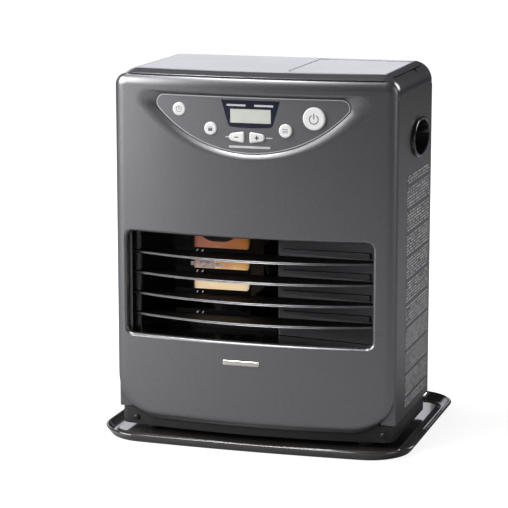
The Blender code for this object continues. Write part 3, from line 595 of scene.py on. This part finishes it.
def rod(name, slot, axis, centre, profile, steps=48):
    """A turned piece: the profile's pairs are a place along the axis and a radius there."""
    place = {"x": at_x, "y": at_y, "z": at_z}[axis]
    rings = [place(circle(centre, radius, steps), along) for along, radius in profile]
    return loft(name, slot, rings)


def boolean(body, tool, operation):
    """Changes body by tool, and removes tool."""
    modifier = body.modifiers.new(operation, "BOOLEAN")
    modifier.operation = operation
    modifier.object = tool
    graph = bpy.context.evaluated_depsgraph_get()
    changed = bpy.data.meshes.new_from_object(body.evaluated_get(graph))
    body.modifiers.clear()
    body.data = changed
    bpy.data.objects.remove(tool)
    return body


def cut(body, tool):
    return boolean(body, tool, "DIFFERENCE")


def join(body, tool):
    return boolean(body, tool, "UNION")


def gather(body, *others):
    """Puts other pieces' meshes into body as they are, with their materials."""
    bm = bmesh.new()
    bm.from_mesh(body.data)
    for other in others:
        shift = {}
        for i, finish in enumerate(other.data.materials):
            if finish.name not in body.data.materials:
                body.data.materials.append(finish)
            shift[i] = body.data.materials.find(finish.name)
        for polygon in other.data.polygons:
            polygon.material_index = shift[polygon.material_index]
        bm.from_mesh(other.data)
        bpy.data.objects.remove(other)
    bm.to_mesh(body.data)
    bm.free()
    return body


def bow_at(x):
    """How far the front stands forward at x, straight between evenly spaced stations."""
    step = 2 * HALF / BOW_PARTS
    place = min(max((x + HALF) / step, 0), BOW_PARTS - 1e-6)
    low = -HALF + step * math.floor(place)
    depths = [BOW * (1 - (end / HALF) ** 2) for end in (low, low + step)]
    return depths[0] + (depths[1] - depths[0]) * (place - math.floor(place))


def bow(body, fade=None):
    """Bends a piece forward like the front. With fade, a pair of y, the bend eases off between them."""
    bm = bmesh.new()
    bm.from_mesh(body.data)
    for i in range(1, BOW_PARTS):
        station = MM * HALF * (2 * i / BOW_PARTS - 1)
        everything = bm.verts[:] + bm.edges[:] + bm.faces[:]
        bmesh.ops.bisect_plane(bm, geom=everything, dist=1e-7, plane_co=(station, 0, 0), plane_no=(1, 0, 0))
    for vert in bm.verts:
        share = 1.0
        if fade:
            share = min(max((fade[1] - vert.co.y / MM) / (fade[1] - fade[0]), 0), 1)
        vert.co.y -= MM * share * bow_at(vert.co.x / MM)
    bm.to_mesh(body.data)
    bm.free()
    return body


def soften(body, width=0.0, segments=3):
    """Shades the piece smooth, and with a width rounds its sharp edges."""
    body.data.shade_smooth()
    body.data.set_sharp_from_angle(angle=math.radians(32))
    if width:
        bevel = body.modifiers.new("edges", "BEVEL")
        bevel.width = width * MM
        bevel.segments = segments
        bevel.limit_method = "ANGLE"
        bevel.angle_limit = math.radians(40)
        bevel.harden_normals = False
    weighted = body.modifiers.new("normals", "WEIGHTED_NORMAL")
    weighted.keep_sharp = True
    return body


def stand_for(body, node, rides="cabinet"):
    """The piece takes a CAD node's place on its body."""
    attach(body, rides)
    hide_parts(node)
    return body


# Front


def panel_ring(inset, y):
    radii = [max(radius - inset, 1.5) for radius in (LOW_CORNER, TOP_CORNER, TOP_CORNER, LOW_CORNER)]
    low = (-HALF + inset, PANEL_LOW + inset)
    high = (HALF - inset, PANEL_TOP - inset)
    return at_y(rounded_rect(low, high, radii, 12), y)


def louvre_outline(outset):
    low = (LOUVRE_LOW[0] - outset, LOUVRE_LOW[1] - outset)
    high = (LOUVRE_HIGH[0] + outset, LOUVRE_HIGH[1] + outset)
    return rounded_rect(low, high, (LOUVRE_CORNER + outset / 2,) * 4, 10)


def recess_fall(share):
    """How deep the recess is, as a part of its depth, part of the way from its rim to the plate."""
    if share < 0:
        return 0.3 * share
    return 0.12 * share + 0.88 * share**2.2


def front_panel():
    """A shell with a rounded edge, a rounded louvre opening and a dished recess, bent forward at the end."""
    steps = 12
    edge_y = PANEL_RIM_Y - 0.6
    rings = []
    for i in range(steps + 1):
        turn = math.radians(90 - 90 * i / steps)
        inset = EDGE_INSET * (1 - math.cos(turn))
        rings.append(panel_ring(inset, edge_y - (edge_y - PANEL_Y) * math.sin(turn)))
    rings += [panel_ring(0, PANEL_RIM_Y), panel_ring(1.6, PANEL_RIM_Y)]
    rings += [panel_ring(3.6, PANEL_Y + 3.6), panel_ring(EDGE_INSET + 1, PANEL_Y + 1.6)]
    body = loft("front_shell", "panel_paint", rings)
    back_y = PANEL_Y + 0.8
    for outline, y in ((louvre_outline(FRAME_ROUND + 1), PANEL_RIM_Y), (segment(**RECESS, inset=-1.2), -109)):
        join(body, loft("collar", "panel_paint", [at_y(outline, back_y), at_y(outline, y)]))
    opening = []
    for angle in range(12, 91, 13):
        turn = math.radians(angle)
        depth = FRAME_ROUND * (1 - math.cos(turn)) - 0.25
        opening.append(at_y(louvre_outline(FRAME_ROUND * (1 - math.sin(turn))), PANEL_Y + depth))
    cut(body, loft("opening", "panel_paint", opening + [at_y(louvre_outline(0), -100)]))
    hole = segment(**PLATE, inset=-0.45)
    rim = segment(**RECESS)
    depth = PLATE_Y + 0.2 - PANEL_Y
    pocket = []
    for i in range(-1, steps + 1):
        share = i / steps
        pocket.append(at_y(between(rim, hole, share), PANEL_Y + depth * recess_fall(share)))
    cut(body, loft("pocket", "panel_paint", pocket + [at_y(hole, -100)]))
    return stand_for(soften(bow(body)), "front_panel")


def front_badge():
    """A plain bright bar."""
    low, high = (-32.0, 97.0), (11.5, 102.5)
    outlines = [(0.9, -1.5), (0.35, -1.4), (0, -1.0), (0, -0.3)]
    rings = []
    for inset, y in outlines:
        near, far = (low[0] + inset, low[1] + inset), (high[0] - inset, high[1] - inset)
        rings.append(at_y(rounded_rect(near, far, (1.6 - inset,) * 4, 6), PANEL_Y + y))
    return stand_for(soften(bow(loft("badge_bar", "badge_metal", rings))), "front_badge")


# Keys on the control plate: place, radius, and for the two setting keys the side that they taper to
ROUND_KEYS = {
    "timer": (-84.4, 386.7, 7.8),
    "lock": (-46.6, 366.4, 7.5),
    "mode": (40.6, 366.8, 7.8),
    "power": (72.7, 381.2, 13.0),
}
TAPERED_KEYS = {"minus": (-15.5, 358.0, -1), "plus": (7.9, 358.0, 1)}
KEY_PROUD = 1.8


def key_outline(name, outset=0.0):
    """A key's outline about its own middle."""
    if name in ROUND_KEYS:
        return circle((0, 0), ROUND_KEYS[name][2] + outset, 48)
    points = arc((-4.6, 0), 4.6 + outset, 110, 250, 14)
    points += arc((6.4, -4.0), 2.4 + outset, 270, 360, 6) + arc((6.4, 4.0), 2.4 + outset, 0, 90, 6)
    if TAPERED_KEYS[name][2] < 0:
        return points
    return [(-x, z) for x, z in points[::-1]]


def window_outline(outset):
    """A trapezium, wide at the top, with rounded corners below."""
    low, top = WINDOW_LOW - outset, WINDOW_TOP + outset
    low_x, top_x = WINDOW_LOW_HALF + outset, WINDOW_TOP_HALF + outset
    points = [(-low_x - 0.7, low + 2.2), (-low_x + 0.6, low + 0.5), (-low_x + 2.4, low - 0.1)]
    points += [(x, low - 1.2 * (1 - (x / low_x) ** 2)) for x in (-18, -12, -6, 0, 6, 12, 18)]
    points += [(low_x - 2.4, low - 0.1), (low_x - 0.6, low + 0.5), (low_x + 0.7, low + 2.2)]
    return points + [(top_x, top), (-top_x, top)]


def bar(low, high, y, slot):
    """A thin printed bar with its face at y."""
    outline = rounded_rect(low, high, (0.25,) * 4, 2)
    return loft("bar", slot, [at_y(outline, y), at_y(outline, y + PRINT_PROUD)])


def control_plate():
    """The plate with holes for its keys and window, a pale line round it painted as a rim highlight, and
    plain printed bars.
    """
    profile = ((0.8, 0), (0.3, 0.1), (0, 0.5), (0, 2.8), (-2, 2.8), (-2, 3.6))
    rings = [at_y(segment(**PLATE, inset=i), PLATE_Y + y) for i, y in profile]
    body = loft("control_face", "plate_plastic", rings)
    holes = [window_outline(0.3)]
    for name, (x, z, _) in {**ROUND_KEYS, **TAPERED_KEYS}.items():
        holes.append([(x + dx, z + dz) for dx, dz in key_outline(name, 0.35)])
    for hole in holes:
        cut(body, loft("hole", "plate_plastic", [at_y(hole, PLATE_Y - 5), at_y(hole, PLATE_Y + 7)]))
    rim_highlight_and_prints = []
    # A pale line just inside the plate's rounded edge: a painted rim highlight.
    outer, inner = segment(**PLATE, inset=0.9), segment(**PLATE, inset=1.7)
    face, sunk = PLATE_Y - PRINT_PROUD, PLATE_Y + 0.05
    line = [at_y(outer, face), at_y(outer, sunk), at_y(inner, sunk), at_y(inner, face)]
    rim_highlight_and_prints.append(loft("line", RIM_LIGHT, line, closed=True))
    for low, high in PLATE_BARS:
        rim_highlight_and_prints.append(bar(low, high, face, PALE_INK))
    return stand_for(soften(bow(gather(body, *rim_highlight_and_prints))), "control_plate")


def display():
    """A dark window with two pale captions, and the display sunk in it."""
    rings = [at_y(window_outline(-i), PLATE_Y + y) for i, y in ((0.3, -0.3), (0, 0), (0, 2.0))]
    body = loft("display_bezel", "window_plastic", rings)
    hole = rounded_rect(LCD_LOW, LCD_HIGH, (0.8,) * 4, 4)
    cut(body, loft("hole", "window_plastic", [at_y(hole, -120), at_y(hole, -100)]))
    captions = [bar((x, 392.6), (x + 22, 394.8), PLATE_Y - 0.38, PALE_INK) for x in (-27.5, 4.5)]
    stand_for(soften(bow(gather(body, *captions))), "display_window")
    glass = []
    for inset, y in ((0.7, 0.1), (0.3, 0.4), (0.3, 3.0)):
        low = (LCD_LOW[0] + inset, LCD_LOW[1] + inset)
        high = (LCD_HIGH[0] - inset, LCD_HIGH[1] - inset)
        glass.append(at_y(rounded_rect(low, high, (0.7,) * 4, 4), PLATE_Y + y))
    stand_for(soften(bow(loft("lcd", "lcd_glass", glass))), "lcd_panel")


def ring_mark(centre, radius, width, y, start=0, end=360):
    """A printed ring or arc."""
    outline = arc(centre, radius, start, end, 28) + arc(centre, radius - width, end, start, 28)
    return loft("mark", INK, [at_y(outline, y), at_y(outline, y + PRINT_PROUD)])


def key_marks(name, x, z, y):
    """Plain signs instead of words."""

    def stroke(left, low, right, high):
        return bar((x + left, z + low), (x + right, z + high), y, INK)

    if name == "minus":
        return [stroke(-2.6, -0.6, 2.2, 0.6)]
    if name == "plus":
        return [stroke(-2.4, -0.65, 2.6, 0.65), stroke(-0.55, -2.5, 0.75, 2.5)]
    if name == "power":
        return [ring_mark((x, z - 0.6), 5.6, 1.1, y, 120, 420), stroke(-0.55, -0.2, 0.55, 6.0)]
    if name == "timer":
        return [ring_mark((x, z), 3.4, 0.5, y), stroke(-0.25, 0, 0.25, 2.4), stroke(0, -0.25, 1.9, 0.25)]
    if name == "lock":
        return [stroke(-2.4, -2.6, 2.4, 0.4), ring_mark((x, z + 0.3), 2.0, 0.6, y, 0, 180)]
    return [stroke(-3.2, middle - 0.35, 3.2, middle + 0.35) for middle in (-1.8, 0, 1.8)]


def keys():
    """Keys with rounded edges and plain signs, each on its own body."""
    for name, (x, z, _) in {**ROUND_KEYS, **TAPERED_KEYS}.items():
        face = PLATE_Y - KEY_PROUD - bow_at(x)
        profile = [(2.2, 0.0), (1.6, 0.06), (1.0, 0.22), (0.5, 0.55), (0.1, 1.1), (0, 1.6), (0, 4.6)]
        rings = []
        for inset, depth in profile:
            outline = key_outline(name, -inset)
            rings.append(at_y([(x + dx, z + dz) for dx, dz in outline], face + depth))
        body = loft(f"{name}_key", "button_plastic", rings)
        body = gather(body, *key_marks(name, x, z, face - 0.06))
        stand_for(soften(body), f"{name}_button", f"{name}_key")


# Louvre


def blade_middle(i):
    """The height of a blade's sheet."""
    low, high = box(f"louver_blade_{i + 1}")
    return (low[2] + high[2]) / 2


def louvre_blades():
    """Each blade is a sheet whose front edge is rolled into two lips, with two small lances behind."""
    section = [(3, -0.7), (1.3, -1.5), (0.4, -1.3), (0.0, -0.8), (0.5, -0.2)]
    section += [(y, -z) for y, z in section[::-1]]
    parts = 48
    for i in range(BLADES):
        node = f"louver_blade_{i + 1}"
        low, high = box(node)
        mid, half, z = (low[0] + high[0]) / 2, (high[0] - low[0]) / 2, blade_middle(i)
        shares = [2 * k / parts - 1 for k in range(parts + 1)]
        rings = []
        for share in shares:
            front = low[1] + BLADE_SAG * share * share
            rings.append([(mid + half * share, front + y, z + up) for y, up in section])
        # The rolled edge is lighter grey steel than the black sheet: a painted highlight along each blade's
        # front.
        bead = loft(f"blade_{i + 1}", "bead_steel", rings)
        outline = [(mid + half * share, low[1] + BLADE_SAG * share * share + 2.6) for share in shares]
        outline += [(high[0], high[1]), (low[0], high[1])]
        sheet = loft("sheet", "blade_steel", [at_z(outline, z - 0.7), at_z(outline, z + 0.7)])
        lances = []
        for x in LANCE_PLACES:
            # Each lance is painted nearly white: a painted glint.
            outline = [(x, z - 0.7), (x + 1.5, z - 0.7), (x + 3.6, z + 3.0), (x + 2.1, z + 3.0)]
            lances.append(loft("lance", "lance_steel", [at_y(outline, high[1] - y) for y in (1.2, 0.2)]))
        curl = [(-104, -0.7), (-13, -0.7), (-13, 13)] + arc((-19.2, 9.2), 4.0, 0, -90, 6) + [(-104, 5.2)]
        flange = [at_y([(x, z + up) for x, up in curl], high[1] + y) for y in (0.05, 1.0)]
        lances.append(loft("flange", "blade_steel", flange))
        stand_for(soften(gather(bead, sheet, *lances)), node)


def louvre_bracket():
    """A strip with a crinkled front flange, notched round each blade."""
    low, high = box("louver_bracket")
    path = [(low[0], high[1]), (low[0], -97.5), (low[0] + 1.5, -99)]
    path += [(-141.5, -99), (-140.5, -98), (-140.5, -92)]
    body = loft("left_bracket", "bracket_steel", [at_z(strip(path, 1.2), z) for z in (low[2], high[2])])
    for i in range(BLADES):
        middle = blade_middle(i)
        near, far = (low[0] + 3, -105, middle - 2.2), (-135, high[1] + 9, middle + 2.2)
        cut(body, block("notch", "bracket_steel", near, far))
    return stand_for(soften(body, 0.3), "louver_bracket")


def guide_place(x, proud=0.0):
    """A point in front of the slanting sheet's face."""
    first, last = GUIDE_RIGHT, GUIDE_CORNER
    share = (x - last[0]) / (first[0] - last[0])
    return x, last[1] + share * (first[1] - last[1]) - proud


def air_guide():
    """The slanting sheet in front of the tank, with a pressed rib above each blade."""
    low, high = box("air_guide")
    corner = arc((GUIDE_CORNER[0] + 3.4, GUIDE_CORNER[1] + 3.0), 3.4, 262, 180, 8)
    path = [(GUIDE_RIGHT[0], low[1]), GUIDE_RIGHT] + corner + [(low[0], high[1])]
    outline = strip(path, -1.2)
    body = loft("slanted_guide", "guide_steel", [at_z(outline, low[2]), at_z(outline, high[2])])
    ribs = []
    for i in range(BLADES):
        middle = blade_middle(i)
        rings = []
        for x, top, out in GUIDE_RIB:
            near, far = guide_place(x, out), guide_place(x, -0.4)
            under = [(*far, middle + 1.0), (*near, middle + 1.8)]
            rings.append(under + [(*near, middle + top - 0.8), (*far, middle + top)])
        ribs.append(loft("rib", "guide_steel", rings))
    return stand_for(soften(gather(body, *ribs), 0.3), "air_guide")


def burner_chamber():
    """The flue, with a dark frame round its sight hole."""
    low, high = box("combustion_chamber")

    def ring(inset, z):
        near, far = (low[0] + inset, low[1] + inset), (high[0] - inset, high[1] - inset)
        return at_z(rounded_rect(near, far, (9 - inset,) * 4, 8), z)

    rings = [ring(0, low[2]), ring(0, high[2]), ring(1.4, high[2]), ring(1.4, low[2])]
    body = loft("burner_chamber", "hot_steel", rings, closed=True)
    hole = [(low[1] - 5, 27), (low[1] + 5, 27)]
    cut(body, rod("hole", "hot_steel", "y", SIGHT_HOLE, hole, 64))
    outer = rounded_rect((-92, 221.5), (-38, 296), (22, 8, 8, 22), 10)
    inner = rounded_rect((-86, 228), (-44, 290), (18, 6, 6, 18), 10)
    back, front = low[1] - 0.1, low[1] - 1.6
    edges = [at_y(outer, back), at_y(outer, front), at_y(inner, front), at_y(inner, back)]
    surround = loft("surround", "black_paint", edges, closed=True)
    return stand_for(soften(gather(body, surround)), "combustion_chamber")


def burner_sill():
    """A low folded strip on the duct floor in front of the burner."""
    rings = []
    for z, out in ((DUCT_FLOOR, 0), (DUCT_FLOOR + 5.5, 0), (DUCT_FLOOR + 6.5, 0.6), (DUCT_FLOOR + 6.8, 1.6)):
        rings.append(at_z(strip([(-154, -76 + out), (-146, -52 + out), (8, -46 + out)], 1.2), z))
    body = loft("burner_sill", "guide_steel", rings)
    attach(soften(body), "cabinet")


# Cover and lid


def top_profile(inset, low=SEAM_Z, steps=14):
    radii = (0.4, TOP_RIGHT_RADIUS - inset, TOP_LEFT_RADIUS - inset, 0.4)
    return rounded_rect((-HALF + inset, low), (HALF - inset, TOP_Z - inset), radii, steps)


def top_cover():
    """A hood with a sloping front shoulder, a rounded rear edge and an opening for the lid."""
    shoulder = [(5.6, -112), (4.9, -112), (4.5, -111.6), (3.2, -108.6), (1.9, -105), (0.8, -101), (0, -96)]
    rings = [at_y(top_profile(inset), y) for inset, y in shoulder]
    for i in range(9):
        turn = math.radians(11.25 * i)
        rings.append(at_y(top_profile(3 * (1 - math.cos(turn))), BODY_REAR - 3 + 3 * math.sin(turn)))
    body = loft("cover_shell", "cover_paint", rings)
    hollow = top_profile(2.0, SEAM_Z - 20)
    cut(body, loft("hollow", "cover_paint", [at_y(hollow, -98), at_y(hollow, BODY_REAR - 2)]))
    cut(body, block("step", "cover_paint", (-200, -150, SEAM_Z - 20), (200, -107.9, PANEL_TOP + 0.3)))
    bow(body, (-100, -20))
    opening = rounded_rect(LID_LOW, LID_HIGH, (7, 1, 1, 7), 8)
    cut(body, loft("opening", "cover_paint", [at_z(opening, 412), at_z(opening, 440)]))
    notch = circle((LID_HIGH[0], 5), 4.5, 32)
    cut(body, loft("notch", "cover_paint", [at_z(notch, 412), at_z(notch, 440)]))
    return stand_for(soften(body), "top_cover")


def tank_lid():
    """A plate that follows the cover's right shoulder, with a hinge barrel behind."""
    gap = 1.1
    centre = HALF - TOP_RIGHT_RADIUS
    turn = math.degrees(math.acos((LID_HIGH[0] - gap - centre) / TOP_RIGHT_RADIUS))
    edge = arc((centre, TOP_Z - TOP_RIGHT_RADIUS), TOP_RIGHT_RADIUS, turn, 90, 14)
    under = arc((centre, TOP_Z - TOP_RIGHT_RADIUS), TOP_RIGHT_RADIUS - LID_THICK, 90, turn, 14)
    left = LID_LOW[0] + gap
    corner = [(left + 0.8, TOP_Z), (left + 0.2, TOP_Z - 0.2), (left, TOP_Z - 0.8)]
    profile = edge + corner + [(left, TOP_Z - LID_THICK)] + under
    front = LID_LOW[1] + gap
    body = loft("lid_shell", "lid_paint", [at_y(profile, front), at_y(profile, LID_AXIS_Y)])
    plan = rounded_rect((left, front), (LID_HIGH[0] - gap, LID_AXIS_Y + 20), (6.4, 1, 1, 6.4), 8)
    boolean(body, loft("plan", "lid_paint", [at_z(plan, 400), at_z(plan, 440)]), "INTERSECT")
    axis = (LID_AXIS_Y, LID_AXIS_Z)
    join(body, rod("barrel", "lid_paint", "x", axis, [(43, 5.5), (137, 5.5)], 40))
    for low, high in ((38, 51), (129, 142)):
        cut(body, rod("bore", "lid_paint", "x", axis, [(low, 1.9), (high, 1.9)], 24))
    return stand_for(soften(body), "tank_lid", "lid")


# Tray and cabinet


def tray_ring(plan, inset, z):
    half, front, rear, radius, sag = plan
    return at_z(plan_outline(half - inset, front + inset, rear - inset, radius - inset, sag), z)


def drip_tray():
    """A pan with a rolled rim, and a raised platform that the cabinet stands on."""
    rings = [tray_ring(TRAY_RIM, inset, z) for inset, z in ((9, 0), (7, 0.6), (5.4, 2.4), (1.0, 8.2))]
    for i in range(9):
        turn = math.radians(180 - 22.5 * i)
        inset = TRAY_LIP_ROUND * (1 + math.cos(turn))
        rings.append(tray_ring(TRAY_RIM, inset, TRAY_LIP_Z + TRAY_LIP_ROUND * math.sin(turn)))
    rings += [tray_ring(TRAY_RIM, inset, z) for inset, z in ((5.2, 7.4), (8.6, 4.2), (10.4, 3.2), (12, 3.0))]
    rings += [tray_ring(TRAY_PLATFORM, inset, z) for inset, z in ((0, 3.0), (1.2, 3.6), (2.8, 5.9), (4, 6.5))]
    body = loft("tray_pan", "tray_enamel", rings)
    cut(body, loft("underside", "tray_enamel", [tray_ring(TRAY_PLATFORM, 5, z) for z in (-1, 4.5)]))
    return stand_for(soften(body), "drip_tray")


def cabinet_side(side, word):
    """A sheet bent round the front corner, with an oval hole for the grip."""
    low, high = box(f"cabinet_{word}")
    path = [(HALF - 17, -108.3)] + arc((HALF - 2, -106.3), 2, -90, 0, 6) + [(HALF, BODY_REAR)]
    path = [(x * side, y) for x, y in path]
    outline = strip(path, 1.2 * side)
    body = loft(f"side_{word}", "side_paint", [at_z(outline, low[2]), at_z(outline, high[2])])
    hole = ellipse((GRIP_Y, GRIP_Z), GRIP_HOLE)
    cut(body, loft("hole", "side_paint", [at_x(hole, side * (HALF - 5)), at_x(hole, side * (HALF + 5))]))
    return stand_for(soften(body, 0.25), f"cabinet_{word}")


def side_grip(side, word):
    """A cup pushed in through the side, with a rounded lip outside."""
    y, z = GRIP_HOLE
    rings = []
    for out, wider in GRIP_PROFILE:
        outline = ellipse((GRIP_Y, GRIP_Z), (y + wider, z + wider))
        rings.append(at_x(outline, side * (HALF + out)))
    return stand_for(soften(loft(f"grip_{word}", "grip_plastic", rings)), f"side_grip_{word}")


def side_label():
    """A thin printed leaf on the right side."""
    rings = [at_x(rounded_rect((-62, 44), (50, 312), (2.0,) * 4, 6), HALF + d) for d in (0.02, 0.14)]
    body = loft("side_label", LABEL, rings)
    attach(soften(body), "cabinet")


def air_filter():
    """A frame of ribs over a fine net, with a pull tab above."""
    low, high = box("air_filter")
    frame_top = low[2] + 162.0
    body = block("filter_frame", "filter_plastic", low, (high[0], high[1], frame_top))
    columns, rows = 4, 5
    width, height = (high[0] - low[0] - 8) / columns, (frame_top - low[2] - 8) / rows
    for i in range(columns * rows):
        x, z = low[0] + 6 + width * (i % columns), low[2] + 6 + height * (i // columns)
        hole = rounded_rect((x, z), (x + width - 4, z + height - 4), (2.5,) * 4, 5)
        cut(body, loft("hole", "filter_plastic", [at_y(hole, 90), at_y(hole, 105)]))
    pull = rounded_rect((-60, frame_top - 1), (-30, high[2]), (1, 3, 3, 1), 6)
    join(body, loft("pull", "filter_plastic", [at_y(pull, low[1]), at_y(pull, high[1])]))
    middle = (low[1] + high[1]) / 2
    near, far = (low[0] + 3, low[2] + 3), (high[0] - 3, frame_top - 3)
    sheet = [at_y(rounded_rect(near, far, (1.0,) * 4, 2), middle + y) for y in (-0.3, 0.3)]
    weave = loft("net", NET, sheet)
    return stand_for(gather(soften(body, 0.4), weave), "air_filter", "filter")


def cross_screw(x, z, face):
    """A cross-headed screw on a face that looks backward."""
    profile = [(face, 3.6), (face + 1.0, 3.5), (face + 2.0, 2.6), (face + 2.3, 1.2)]
    head = rod("screw", "screw_black", "y", (x, z), profile, 24)
    for across, up in ((1.9, 0.4), (0.4, 1.9)):
        low, high = (x - across, face + 1.2, z - up), (x + across, face + 4, z + up)
        cut(head, block("slot", "screw_black", low, high))
    return head


def rear_screws():
    """The screws that hold the rear panel."""
    face = box("rear_panel")[1][1]
    places = [(x, z) for x in (-152, 152) for z in (48, 210, 392)] + [(-70, 392), (60, 392)]
    heads = [cross_screw(x, z, face) for x, z in places]
    body = soften(gather(heads[0], *heads[1:]))
    body.name = "rear_screws"
    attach(body, "cabinet")


def carried_nodes():
    """Every CAD node that stays gets its slot's finish."""
    slots = {part["node"]: part["material_slot"] for part in frame["record"]["subparts"]}
    for name, node in frame["nodes"].items():
        if node.hide_render:
            continue
        node.data.materials.clear()
        node.data.materials.append(IN_THE_FLAME.get(name, PAINT[slots[name]]))


def stage():
    """A pale floor that reads white to the camera, with the heater's soft shadow on it and painted shade: its
    glow is weaker near the heater.
    """
    bm = bmesh.new()
    bmesh.ops.create_grid(bm, x_segments=1, y_segments=1, size=30 / MM)
    graph = Graph("floor", (0.42, 0.42, 0.43), 0.9)
    floor = mesh_object("floor", graph.material, bm)
    graph.vary_colour(graph.noise(800, 2), 0.01)
    far = graph.node("ShaderNodeVectorMath", operation="LENGTH")
    graph.links.new(graph.where, far.inputs[0])
    # Painted shade: the floor glows 0.86 within 200 mm of the middle, rising to full beyond 600 mm.
    glow_with_painted_shade = graph.spread(far.outputs["Value"], 200, 600, 0.86, 1.0)
    path = graph.node("ShaderNodeLightPath")
    graph.set("Emission Color", (1, 1, 1, 1))
    graph.feed(graph.math("MULTIPLY", glow_with_painted_shade, path.outputs["Is Camera Ray"]), "Emission Strength")


def light(name, place, target, size, power, colour=(1, 1, 1)):
    """A rectangular light that faces its target. Metres and watts."""
    data = bpy.data.lights.new(name, "AREA")
    data.shape = "RECTANGLE"
    data.size, data.size_y = size
    data.energy = power
    data.color = colour
    made = bpy.data.objects.new(name, data)
    bpy.context.scene.collection.objects.link(made)
    made.location = place
    made.rotation_euler = (Vector(target) - Vector(place)).to_track_quat("-Z", "Y").to_euler()
    made.visible_camera = False


def lights():
    light("key_left", (-2.5, -1.8, 1.2), (0, 0, 0.2), (1.7, 1.6), 98)
    light("front_top", (-0.7, -1.4, 2.0), (0, 0, 0.3), (1.2, 0.8), 11)
    light("right_edge", (2.5, -0.9, 0.9), (0, 0, 0.25), (1.3, 1.5), 9)
    light("rear_right", (2.0, 2.2, 1.3), (0, 0, 0.25), (1.2, 1.0), 16)
    light("overhead", (-0.6, -0.45, 2.1), (-0.3, -0.25, 0.3), (1.0, 0.4), 30)
    light("rear_soft", (-1.3, 2.4, 0.95), (0, 0, 0.4), (2.0, 0.9), 6, (0.93, 0.93, 1.0))
    world = bpy.data.worlds.new("studio")
    bpy.context.scene.world = world
    world.use_nodes = True
    background = world.node_tree.nodes["Background"]
    background.inputs["Color"].default_value = (0.95, 0.95, 1.0, 1)
    background.inputs["Strength"].default_value = 0.04


def camera():
    data = bpy.data.cameras.new("camera")
    data.sensor_width = 36.0
    data.lens = CAMERA_LENS
    data.clip_end = 100.0
    made = bpy.data.objects.new("camera", data)
    bpy.context.scene.collection.objects.link(made)
    made.location = CAMERA_PLACE
    made.rotation_euler = (math.radians(CAMERA_PITCH), 0, math.radians(CAMERA_TURN))
    bpy.context.scene.camera = made
    bpy.context.scene.view_settings.view_transform = "Standard"


front_panel()
front_badge()
control_plate()
display()
keys()
louvre_blades()
louvre_bracket()
air_guide()
burner_chamber()
burner_sill()
top_cover()
tank_lid()
drip_tray()
for side, word in ((-1, "left"), (1, "right")):
    cabinet_side(side, word)
    side_grip(side, word)
side_label()
air_filter()
rear_screws()
carried_nodes()
stage()
lights()
camera()
